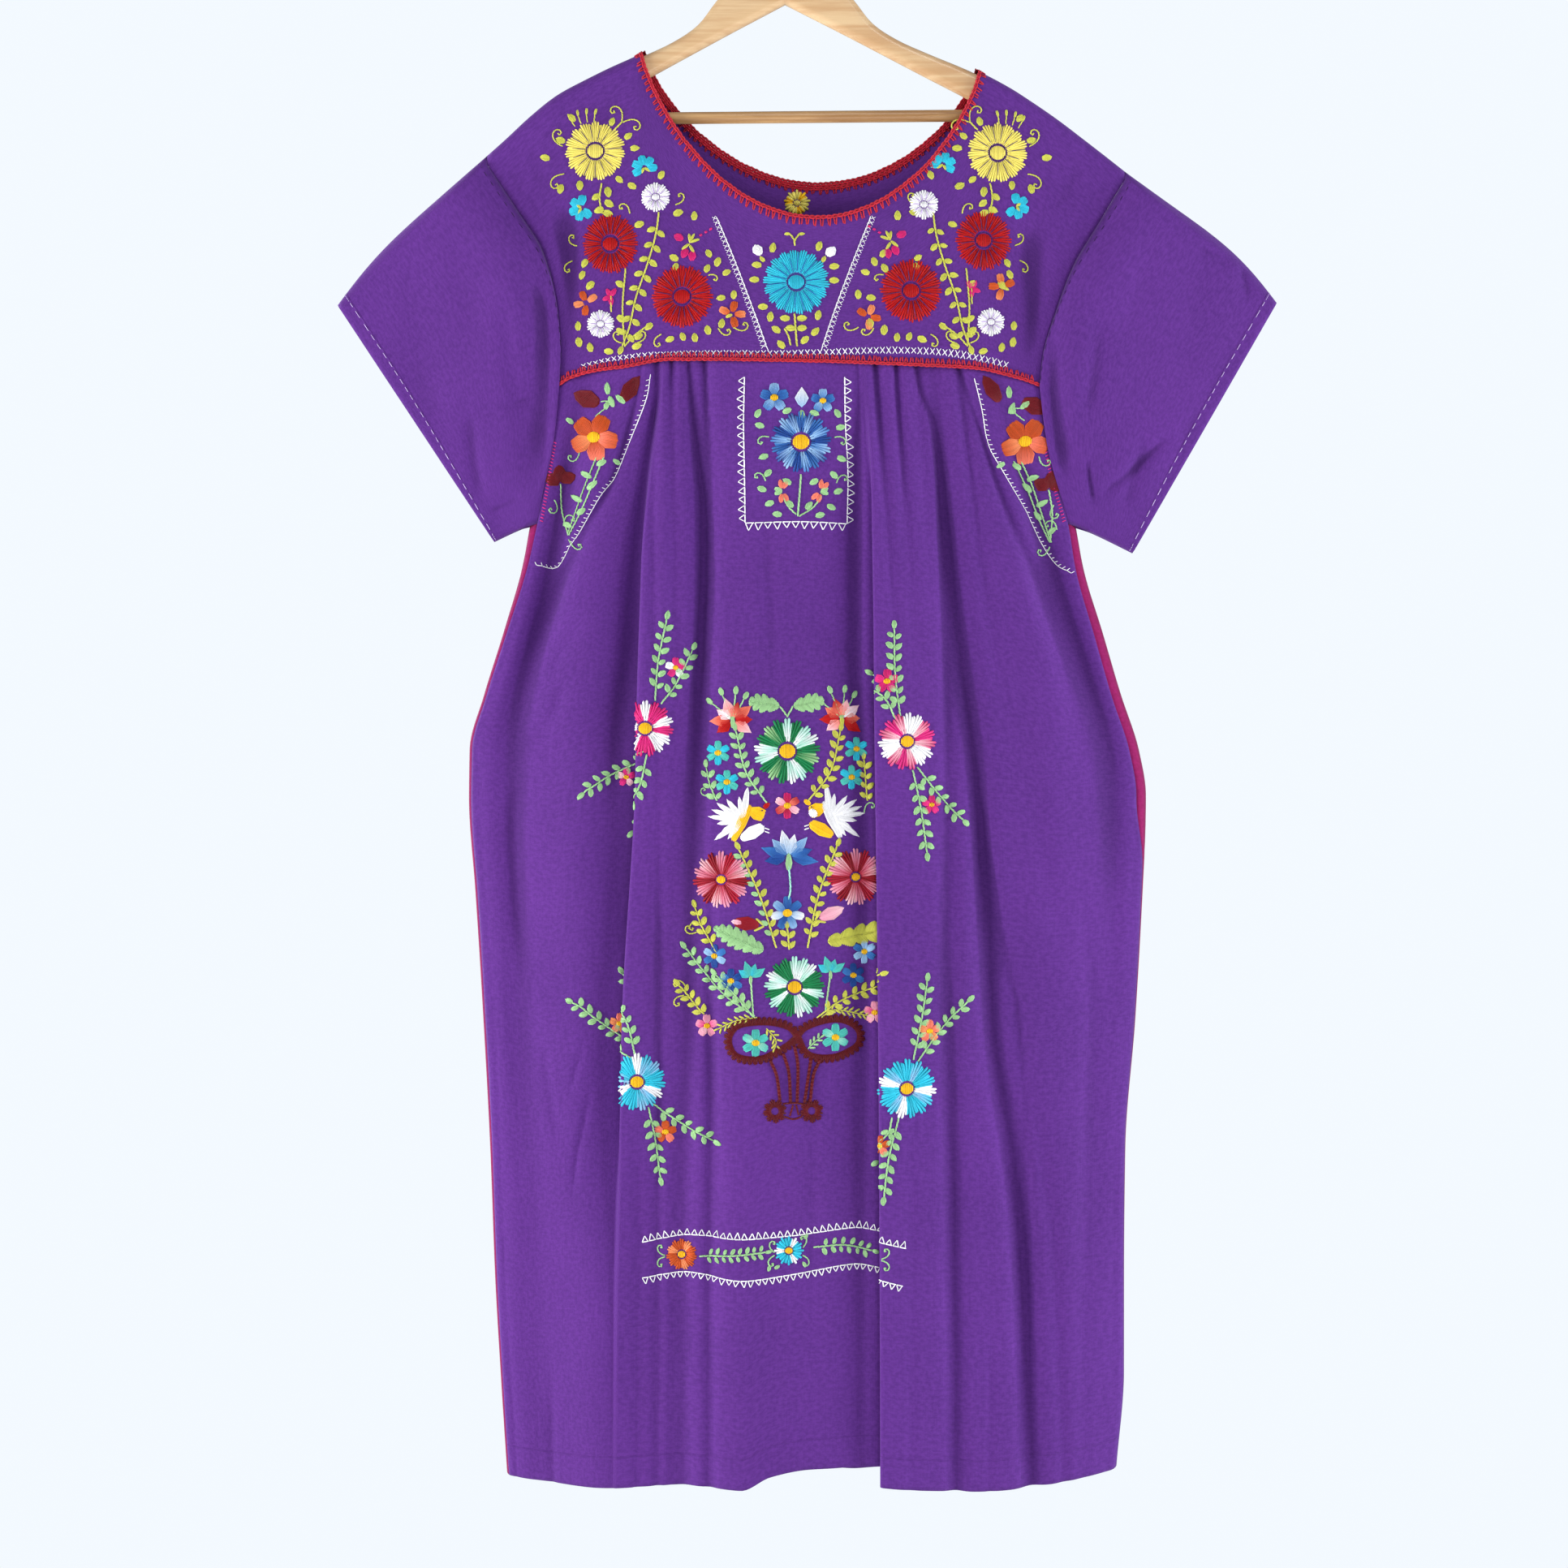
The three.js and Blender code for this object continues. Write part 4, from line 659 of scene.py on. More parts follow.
def sleeve_at(side, k, out):
    """A point of a sleeve by its station and its share of the way from armhole to hem."""
    k, out = np.broadcast_arrays(np.asarray(k, float) % RING, out)
    face = np.where(k <= RING / 2, -1, 1)
    x0, y0, z0 = armhole_ring(side, k)
    walk = np.stack(armhole_ring(side, STATIONS), -1)
    downs = np.concatenate([[0], np.cumsum(np.linalg.norm(np.diff(walk, axis=0), axis=1))])
    half = np.minimum(k, RING - k)
    (top_x, top_z), (foot_x, foot_z) = SLEEVES[side]["top"], SLEEVES[side]["foot"]
    length = math.hypot(foot_x - top_x, foot_z - top_z)
    down = length * np.interp(half, STATIONS, downs / downs[-1])
    band = np.radians(30 * np.clip(half, 0, BENT))
    under = np.radians(45 * np.clip(half - AT_ARM, 0, 2))
    down = np.where(half < BENT, FOLD_RADIUS * (1 - np.cos(band)), down)
    down = np.where((half >= BENT) & (half < BENT + 1), mix(FOLD_RADIUS, down, half - BENT), down)
    foot = length - FOLD_RADIUS * (1 - np.sin(under))
    down = np.where(half > AT_ARM - 1, np.minimum(down, foot), down)
    down = np.where(half > AT_ARM, foot, down)
    deep = np.where(half < BENT, FOLD_RADIUS * np.sin(band),
                    np.where(half > AT_ARM, FOLD_RADIUS * np.cos(under), FOLD_RADIUS))
    x, y, z = [mix(a, b, out) for a, b in zip(
        (x0, y0, z0), (mix(top_x, foot_x, down / length), deep, mix(top_z, foot_z, down / length)))]
    bulge, over, clear = [between(SLEEVE_RINGS["out"], SLEEVE_RINGS[name], out)
                          for name in ("bulge", "over", "clear")]
    share = np.clip((RING / 2 - np.abs(k - RING / 2)) / (RING / 2 - 2), 0, 1)
    y = y + bulge * np.sin(np.pi * share)**0.8 * np.where(face < 0, 1, 0.5)
    x = x - side * over * smooth((share - 0.3) / 0.3) * (1 - smooth((share - 0.85) / 0.15))
    rise = SLEEVES[side]["hump"] * np.sin(np.pi * out**1.5) * (1 - share)**2
    x, z = x + side * 0.62 * rise, z + 0.78 * rise
    z = z + clear * np.clip(2 - np.abs(k - RING / 2), 0, 1)
    edge = smooth(half / 2.5) * smooth((AT_ARM + 1 - half) / 2.5) * smooth(out / 0.15)
    uneven = crease_depth(SLEEVE_CREASES[side], x, z) - slack(x * face, z)
    y = y - uneven * edge * np.where(face < 0, 1, 0.8)
    return np.stack([x, face * y, z], -1)


def sleeve_place(side):
    return lambda share, up: sleeve_at(side, (side * share * RING) % RING, mix(0.002, 1, 1 - up))


SLEEVE_FLAT, SLEEVE_AREA = (0.62, 0.19), 0.095
sleeves = {side: cloth(f"sleeve_{side_name(side)}_cloth", 168, 48, sleeve_place(side), SLEEVE_FLAT,
                       closed=True, reach=(2, 6))
           for side in (-1, 1)}
print("sleeves:", [len(s.data.vertices) for s in sleeves.values()], "points")

# %% [markdown]
# The embroidery is real thread, so it is built from stitches. A stitch is one short length of floss
# that comes up through the cloth, lies on it and goes down again: a small closed tube with five
# rings of four points. Thousands of them are worked out together with arrays and joined into a few
# meshes, because objects of their own would be far too slow. Their places are drawn on the flat
# cloth and then carried on to the folded surface.

# %% Stitches
THREAD = 1.25
ALONG = np.array([0.0, 0.1, 0.5, 0.9, 1.0])
RISE = np.array([-0.7, 0.55, 1.0, 0.55, -0.7])
GIRTH = np.array([0.55, 0.95, 1.0, 0.95, 0.55])
CORNERS = np.array([[1, 0], [0, 1], [-1, 0], [0, -1]])
FLATNESS = 0.42


def dye(red, green, blue):
    """A linear colour from the usual 0 to 255 values."""
    share = np.array([red, green, blue]) / 255
    return np.where(share <= 0.04045, share / 12.92, ((share + 0.055) / 1.055)**2.4)


FLOSS = {
    "white": dye(243, 243, 245), "yellow": dye(240, 225, 110), "lime": dye(200, 201, 82),
    "red": dye(182, 0, 3), "teal": dye(42, 191, 217), "aqua": dye(78, 192, 180), "pink": dye(208, 28, 112),
    "orange": dye(200, 82, 28), "peach": dye(234, 142, 92), "salmon": dye(242, 128, 104),
    "gold": dye(250, 196, 24), "leaf": dye(158, 204, 144), "mint": dye(158, 224, 202),
    "forest": dye(12, 124, 70), "navy": dye(24, 70, 148), "blue": dye(54, 116, 186),
    "sky": dye(150, 190, 228), "wine": dye(94, 0, 14), "claret": dye(106, 4, 20), "ember": dye(190, 72, 26),
    "cherry": dye(180, 20, 52), "rose": dye(232, 152, 178), "magenta": dye(222, 42, 130),
    "blush": dye(246, 196, 206), "coral": dye(190, 34, 54), "garnet": dye(178, 20, 44),
    "lilac": dye(186, 160, 214), "plum": dye(56, 20, 86), "crimson": dye(142, 4, 28)}


def way(degrees):
    turn = np.radians(degrees)
    return np.stack([np.cos(turn), np.sin(turn)], -1)


def crosswise(vector):
    return np.stack([-vector[..., 1], vector[..., 0]], -1)


def unit(vector):
    return vector / np.linalg.norm(vector, axis=-1, keepdims=True)


class Sewing:
    """Stitches on one piece of cloth, kept as rows of numbers until they become one mesh."""

    def __init__(self, name, surface, outward, seed):
        self.name, self.surface, self.outward = name, surface, outward
        self.dice = np.random.default_rng(seed)
        self.rows = []

    def stitch(self, start, end, colour, tip=None, width=THREAD, bow=0.0, lift=1.0):
        start, end = np.broadcast_arrays(np.atleast_2d(start), np.atleast_2d(end))
        count = len(start)
        one = lambda value: np.broadcast_to(value, count)[:, None]
        shade = lambda name: np.broadcast_to(FLOSS[name], (count, 3))
        self.rows.append(np.hstack([start, end, one(width), one(bow), one(lift),
                                    shade(colour), shade(tip or colour)]))

    def mesh(self):
        rows = np.vstack(self.rows)
        start, end = rows[:, None, 0:2], rows[:, None, 2:4]
        width, bow, lift = rows[:, None, 4], rows[:, None, 5], rows[:, None, 6]
        length = np.maximum(np.linalg.norm(end - start, axis=-1, keepdims=True), 1e-6)
        heading = np.broadcast_to((end - start) / length, (len(rows), 5, 2))
        aside = crosswise(heading)
        flat = (start + (end - start) * ALONG[:, None]
                + aside * (bow * np.sin(np.pi * ALONG))[..., None])
        place = lambda p: self.surface(p[..., 0].ravel(), p[..., 1].ravel()).reshape(*p.shape[:2], 3)
        centre = place(flat)
        forward, over = place(flat + 0.3 * heading) - centre, place(flat + 0.3 * aside) - centre
        normal = unit(np.cross(forward, over))
        normal *= np.sign((normal * self.outward).sum(-1, keepdims=True))
        side = unit(np.cross(normal, forward))
        high = width * FLATNESS
        centre = centre + normal * (COTTON / 2 + high * RISE * lift)[..., None]
        ring = (side[:, :, None] * (CORNERS[:, 0, None] * (width * GIRTH / 2)[..., None, None])
                + normal[:, :, None] * (CORNERS[:, 1, None] * (high * GIRTH)[..., None, None]))
        points = (centre[:, :, None] + ring).reshape(-1, 3)
        share = ALONG[None, :, None]
        colours = rows[:, None, 7:10] * (1 - share) + rows[:, None, 10:13] * share
        colours = colours * self.dice.uniform(0.86, 1.1, (len(rows), 1, 1))
        return points, np.repeat(colours.reshape(-1, 3), 4, axis=0)


def tube_faces(count):
    """Faces of one stitch after another: four sides on four spans, and both ends."""
    ring = np.arange(4)
    after = (ring + 1) % 4
    spans = np.concatenate([np.stack([4 * i + ring, 4 * i + after, 4 * i + 4 + after, 4 * i + 4 + ring], -1)
                            for i in range(4)])
    ends = np.array([[3, 2, 1, 0], [16, 17, 18, 19]])
    return (np.concatenate([spans, ends])[None] + 20 * np.arange(count)[:, None, None]).reshape(-1, 4)


def sewn(name, *works):
    """One mesh from the stitches of one or more pieces of cloth."""
    parts = [work.mesh() for work in works]
    points, colours = [np.concatenate(found) for found in zip(*parts)]
    count = len(points) // 20
    mesh = bpy.data.meshes.new(name)
    mesh.from_pydata((points * MM).tolist(), [], tube_faces(count).tolist())
    floss = mesh.color_attributes.new("floss", "FLOAT_COLOR", "POINT")
    floss.data.foreach_set("color", np.hstack([np.clip(colours, 0, 1), np.ones((len(colours), 1))]).ravel())
    form = reopened(mesh)
    bmesh.ops.recalc_face_normals(form, faces=form.faces)
    print(name, "has", count, "stitches,", count * 36, "triangles")
    return finish_piece(name, poured(form, mesh))


# %% [markdown]
# Three surfaces take the embroidery: the yoke seen from the front or back, and the skirt, which is
# read by distance across the cloth and by height. The deep folds of the skirt come for free.

# %% Surfaces to sew on
def yoke_surface(face):
    return lambda x, z: np.stack([x, yoke_y(x, z, face), z], -1)


def skirt_surface(across, z):
    start = seam_z(CENTRE_X + across)
    return skirt_at(across, (z - start) / (HEM_Z + hem_rise(across) - start))


# %% [markdown]
# Puebla embroidery is worked in long satin stitches. A leaf or a petal is a few threads that share
# a foot and a tip and are pushed apart in the middle. A stem is a row of short stitches that each
# start a little before the last one ended. These are the small motifs all others are made of.

# %% Leaf, disc and stem
def leaf(work, base, degrees, length, width, colour, tip=None, blunt=0.38):
    count = max(2, round(width / 0.95))
    apart = np.linspace(-1, 1, count) * max(width - THREAD, 0.4) / 2
    heading, base = way(degrees), np.asarray(base, float)
    aside = crosswise(heading)
    uneven = work.dice.uniform(-0.35, 0.35, (count, 1))
    short = (1 - blunt) * 0.22 * (2 * np.abs(apart) / max(width, 0.1))[:, None] * length
    start = base + aside * apart[:, None] * 0.38 + heading * (uneven + short * 0.3)
    end = base + heading * (length + uneven - short) + aside * apart[:, None] * blunt
    work.stitch(start, end, colour, tip, bow=apart * (1 - (0.38 + blunt) / 2))


def leaves(work, rows, length, width, colour, back=0):
    """Leaves of one size. Each row is x, z and a direction, and the leaf may start a little behind."""
    for x, z, degrees in rows:
        leaf(work, np.array((x, z)) - way(degrees) * back, degrees, length, width, colour)


def petal(work, base, degrees, length, width, colour, tip=None):
    """Narrow at the foot and pointed at the tip: a leaf of more threads that bulges more."""
    count = max(3, round(width / 0.8))
    spread = np.linspace(-1, 1, count)[:, None]
    heading, base = way(degrees), np.asarray(base, float)
    aside = crosswise(heading)
    start = base + heading * length * 0.1 * np.abs(spread) + aside * spread * width * 0.12
    end = base + heading * length * (1 - 0.2 * np.abs(spread)) + aside * spread * width * 0.14
    work.stitch(start, end, colour, tip, bow=spread[:, 0] * width * 0.36)


def disc(work, centre, radius, colour, degrees=0, lift=1.4):
    count = max(2, round(2 * radius / 1.15))
    offset = np.linspace(-1, 1, count) * (radius - THREAD / 2)
    half = np.sqrt(radius**2 - offset**2)[:, None]
    middle = np.asarray(centre, float) + crosswise(way(degrees)) * offset[:, None]
    work.stitch(middle - way(degrees) * half, middle + way(degrees) * half, colour, lift=lift, width=1.35)


def path_through(points, pitch):
    """Equal steps along a smooth line through a few points."""
    points = np.asarray(points, float)
    padded = np.vstack([2 * points[0] - points[1], points, 2 * points[-1] - points[-2]])
    t = np.linspace(0, 1, 12, endpoint=False)[:, None]
    line = []
    for a, b, c, d in zip(padded, padded[1:], padded[2:], padded[3:]):
        line.append(0.5 * (2 * b + (c - a) * t + (2 * a - 5 * b + 4 * c - d) * t**2
                           + (3 * b - a - 3 * c + d) * t**3))
    line = np.vstack(line + [points[-1:]])
    walked = np.concatenate([[0], np.cumsum(np.linalg.norm(np.diff(line, axis=0), axis=1))])
    steps = np.linspace(0, walked[-1], max(2, round(walked[-1] / pitch) + 1))
    return np.stack([np.interp(steps, walked, line[:, i]) for i in (0, 1)], -1)


def stem(work, points, colour, width=1.3, pitch=3.6):
    path = path_through(points, pitch)
    step = np.diff(path, axis=0)
    slant = crosswise(step) * 0.07
    work.stitch(path[:-1] - step * 0.22 - slant, path[1:] + step * 0.12 + slant, colour, width=width)


def curl(work, start, degrees, size, colour, turn=1):
    """A tendril that leaves at an angle and rolls up."""
    share = np.linspace(0, 1, 13)
    heading = degrees + turn * 430 * share**1.5
    step = size * 0.26 * (1.25 - share)[:, None]
    points = np.asarray(start, float) + np.vstack([[0, 0], np.cumsum(way(heading) * step, axis=0)])
    stem(work, points, colour, width=1.1, pitch=2.3)


def curls(work, rows, size, colour="leaf"):
    """Tendrils of one size. Each row is x, z, a direction and the way round."""
    for x, z, degrees, turn in rows:
        curl(work, (x, z), degrees, size, colour, turn)


def sprig(work, points, colour, length=7.0, width=4.4, pitch=8.6, lean=48, bare=0.1, stalk=1.35):
    """A stem with pairs of leaves. Two colours are for its right and its left side."""
    shades = (colour.split() * 2)[:2]
    stem(work, points, shades[0], width=stalk)
    path = path_through(points, pitch)
    heading = np.degrees(np.arctan2(*np.gradient(path, axis=0).T[::-1]))
    for i in range(round(bare * len(path)), len(path) - 1):
        for side in (1, -1):
            size = work.dice.uniform(0.85, 1.1)
            turned = heading[i] + side * (lean + work.dice.uniform(-7, 7))
            base = path[i] + way(heading[i]) * (side + 1) * 0.8 + way(turned) * 0.9
            leaf(work, base, turned, length * size, width * size, shades[side > 0])
    leaf(work, path[-1], heading[-1], length, width, shades[0])


# %% [markdown]
# A big flower is a ring of petals of four or five threads each, with the cloth showing in the gaps;
# on some, dark lines laid in the gaps and round the heart are painted shade.
# Every other thread starts further out, as a sewer does it where there is no more room at the
# middle. Shaded flowers have threads that change colour on their way out or from petal to petal.

# %% Flowers
def daisy(work, centre, radius, hub, petals, threads, colours, heart="gold", tips=None, turn=90, tall=1.0,
          ring=None):
    """Ring is the colour of thin lines laid round the heart and in the gaps between petals. Plum or navy
    lines, darker than the cloth, are painted shade in those gaps.
    """
    centre, colours, tips = np.asarray(centre, float), colours.split(), (tips or colours).split()
    spread = np.linspace(-1, 1, threads)
    width = 2 * np.pi * radius * 0.72 / (petals * threads) * 1.22
    squash = np.array([1.0, tall])
    for p in range(petals):
        degrees = turn + 360 * p / petals + spread * (180 / petals) * (0.88 if ring else 0.84)
        reach = radius * (1 - (0.09 if ring else 0.13) * spread**2) * work.dice.uniform(0.97, 1.02, threads)
        inner = hub * 1.12 + (radius - hub) * 0.16 * (np.arange(threads) % 2)
        colour, tip = colours[p % len(colours)], tips[p % len(tips)]
        work.stitch(centre + way(degrees) * inner[:, None] * squash,
                    centre + way(degrees) * reach[:, None] * squash, colour, tip, width=width)
    disc(work, centre, hub * 0.96, heart, degrees=90)
    # Painted shade: ring lines in plum or navy paint the dark gaps between petals and the shade round the
    # heart.
    if ring:
        marks = centre + way(np.arange(0, 361, 360 / 14)) * hub * 1.06
        work.stitch(marks[:-1], marks[1:], ring, width=0.6)
        gaps = way(turn + 360 * (np.arange(petals) + 0.5) / petals) * squash
        ends = work.dice.uniform(0.74, 0.96, (petals, 1)) * radius
        work.stitch(centre + gaps * hub * 1.1, centre + gaps * ends, ring, width=0.75, lift=5.4)


def floret(work, centre, radius, petals, colours, heart="gold", tips=None, turn=90, arc=360, full=0.92):
    """A small flower of round petals, whole or only a fan of them."""
    colours, tips, whole = colours.split(), (tips or colours).split(), arc >= 360
    for p in range(petals):
        degrees = turn + (360 * p / petals if whole else arc * (p / (petals - 1) - 0.5))
        width = 2 * np.pi * radius * 0.62 / (petals * 360 / arc) * full
        leaf(work, np.asarray(centre) + way(degrees) * radius * 0.18, degrees, radius * 0.84, width,
             colours[p % len(colours)], tips[p % len(tips)], blunt=0.72)
    if heart:
        disc(work, centre, radius * 0.26, heart, degrees=90, lift=1.8)


def lily(work, centre, radius, feet, tips, arc=230, turn=90, width=0.4, calyx="leaf"):
    """Broad pointed petals in a fan over a green cup, each with the colour of its foot and tip."""
    centre, feet, tips = np.asarray(centre, float), feet.split(), tips.split()
    for p, (foot, tip) in enumerate(zip(feet, tips)):
        degrees = turn + arc * (p / (len(feet) - 1) - 0.5)
        long = radius * (1 - 0.16 * (p % 2)) * work.dice.uniform(0.94, 1.04)
        petal(work, centre + way(degrees) * radius * 0.08, degrees, long * 0.92, radius * width, foot, tip)
    leaf(work, centre - way(turn) * radius * 0.34, turn, radius * 0.52, radius * 0.2, calyx)


def toothed_leaf(work, base, tip, width, colour, teeth=6):
    """A broad leaf: slanting stitches on both sides of a middle line, longer and shorter in turn."""
    base, tip = np.asarray(base, float), np.asarray(tip, float)
    length = np.linalg.norm(tip - base)
    degrees = math.degrees(math.atan2(*(tip - base)[::-1]))
    share = np.linspace(0.03, 0.95, round(length / 1.05))
    swell = np.sin(np.pi * np.clip(share * 0.93 + 0.1, 0, 1))**0.7
    tooth = 0.6 + 0.48 * np.abs(np.sin(np.pi * share * teeth))**0.8
    for side in (1, -1):
        start = base + (tip - base) * share[:, None]
        end = start + way(degrees + side * 58) * (width / 2 * swell * tooth)[:, None] * 1.15
        work.stitch(start, end, colour, width=1.25)
    vein = base + (tip - base) * np.linspace(0.04, 0.92, 8)[:, None]
    work.stitch(vein[:-1], vein[1:], colour, width=0.8, lift=2.2)


def bud(work, base, degrees, size, colour, calyx="leaf", tip=None):
    leaf(work, base, degrees, size, size * 0.5, colour, tip)
    for side in (-34, 34):
        leaf(work, np.asarray(base) - way(degrees) * size * 0.16, degrees + side, size * 0.42, 1.9, calyx)


# %% [markdown]
# White thread frames the panels: a line with open triangles on it, a row of crosses, and a line with
# small ticks. They are plain straight stitches.

# %% Lines of white thread
def triangles(work, points, height, pitch, side=1, colour="white"):
    path = path_through(points, pitch)
    step = np.diff(path, axis=0)
    foot, toe = path[:-1] + step * 0.04, path[:-1] + step * 0.84
    lean = work.dice.uniform(-0.12, 0.12, (len(step), 1))
    high = height * work.dice.uniform(0.85, 1.12, (len(step), 1))
    aside = unit(crosswise(step)) * side
    peak = path[:-1] + step * (0.44 + lean) + aside * high
    work.stitch(path[:-1], path[1:], colour, width=1.0)
    work.stitch(foot, peak, colour, width=0.85)
    work.stitch(peak, toe, colour, width=0.85)


def crosses(work, points, heights, pitch, colour="white", width=0.72):
    path = path_through(points, pitch)
    step = np.diff(path, axis=0)
    aside = unit(crosswise(step))
    high = np.linspace(*heights, len(step))[:, None] * work.dice.uniform(0.85, 1.15, (len(step), 1))
    back = step * 0.24
    for rise in (-aside * high / 2, aside * high / 2):
        work.stitch(path[:-1] - back + rise, path[1:] - back * 2 - rise, colour, width=width)


def ticked_line(work, points, tick, pitch=4.2, colour="white", side=1):
    path = path_through(points, pitch)
    step = np.diff(path, axis=0)
    work.stitch(path[:-1] - step * 0.06, path[1:], colour, width=0.72)
    aside = side * unit(crosswise(step))
    work.stitch(path[1:], path[1:] + (aside * tick + step * 0.3), colour, width=0.6)


# %% [markdown]
# The yoke carries the brightest flowers. Its two halves mirror each other, but only nearly, because
# they are sewn by hand. The flowers are listed for each half, and the leaves and tendrils between
# them are listed once, as places and directions, and turned over for the other half.

# %% Yoke, front
YOKE_MIDDLE = 9.5
yoke = Sewing("yoke", yoke_surface(-1), np.array([0, -1.0, 0]), 11)


def over(point, side):
    """A place of the left half, or its mirror on the right half."""
    return (point[0], point[1]) if side < 0 else (2 * YOKE_MIDDLE - point[0], point[1])


def beside(point, dx, dz, side):
    """A place next to a flower, with dx towards the middle of the yoke on both halves."""
    return over((over(point, side)[0] + dx, point[1] + dz), side)


def turned(degrees, side):
    return degrees if side < 0 else 180 - degrees


YOKE_FLOWERS = {  # yellow, two reds, two whites, two turquoise, two pinks, two oranges
    -1: [(-150.6, -220), (-138.4, -294.6), (-81.1, -337.4), (-102.3, -257.6), (-146.1, -358.5),
         (-111.3, -233.9), (-161.5, -265.5), (-75.3, -293.9), (-137.7, -336.8), (-41.2, -351.9),
         (-157.7, -341.4)],
    1: [(170.5, -221.3), (158.9, -291.9), (101, -332.8), (111.3, -263.6), (164.7, -357.2), (126.8, -231.2),
        (185.3, -264.2), (84.9, -291.9), (149.3, -330.8), (173.7, -328.9), (66.9, -353.9)]}
YOKE_LEAVES = [  # x, z, direction on the left half
    (-169.2, -193.6, 125), (-137.1, -196.3, 70), (-124.2, -208.2, 40), (-119, -218, 5), (-131.3, -243.1, -40),
    (-178.2, -211.4, 160), (-190.5, -225.3, 170), (-178.2, -250.4, 250), (-162.8, -247.7, 265),
    (-140.3, -253, 280), (-149.9, -257, 215), (-139.6, -262.2, 330), (-147.4, -267.5, 200),
    (-140.3, -270.2, 340), (-84.3, -270.2, 20), (-97.8, -239.8, 60), (-121, -248.4, 150),
    (-115.2, -279.4, 200), (-158.9, -309.7, 240), (-160.9, -319, 250), (-154.4, -327.5, 230),
    (-61.1, -315, 60), (-52.8, -309.7, 75), (-45.7, -318.3, 20), (-39.9, -336.1, 80), (-59.8, -303.1, 120),
    (-71.4, -272.8, 90), (-87.5, -306.4, 150), (-86.2, -313.7, 70), (-50.2, -338.7, 190), (-49.5, -359.2, 80),
    (-60.5, -364.4, 100), (-70.8, -370.2, 95), (-80.4, -369.5, 110), (-90.7, -371.5, 200),
    (-107.5, -361.2, 220), (-115.8, -368.9, 30), (-117.1, -376.6, 20), (-139.6, -380.5, 165),
    (-154.4, -377.3, 100), (-163.4, -372.8, 100), (-164.1, -359.9, 95), (-129.3, -354.6, 150),
    (-130.6, -326.9, 150), (-130.6, -364.4, 140)]
YOKE_CURLS = [  # x, z, direction, size, way round
    (-129.3, -196.3, 84, 11, 1), (-128.1, -196.9, 22, 11, -1), (-177, -216.1, 150, 11, -1),
    (-175.7, -238.5, 190, 11, 1), (-122.9, -270.2, 100, 8, 1), (-86.2, -263.6, 20, 8, 1),
    (-165.4, -295.2, 160, 8, -1), (-169.2, -307.1, 200, 8, 1), (-52.1, -363.1, 300, 8, 1),
    (-39.9, -362.5, 330, 9, 1), (-97.8, -367.6, 210, 8, 1), (-129.3, -374, 160, 8, -1),
    (-116.5, -374, 20, 8, 1), (-59.8, -320.3, 10, 6, -1)]

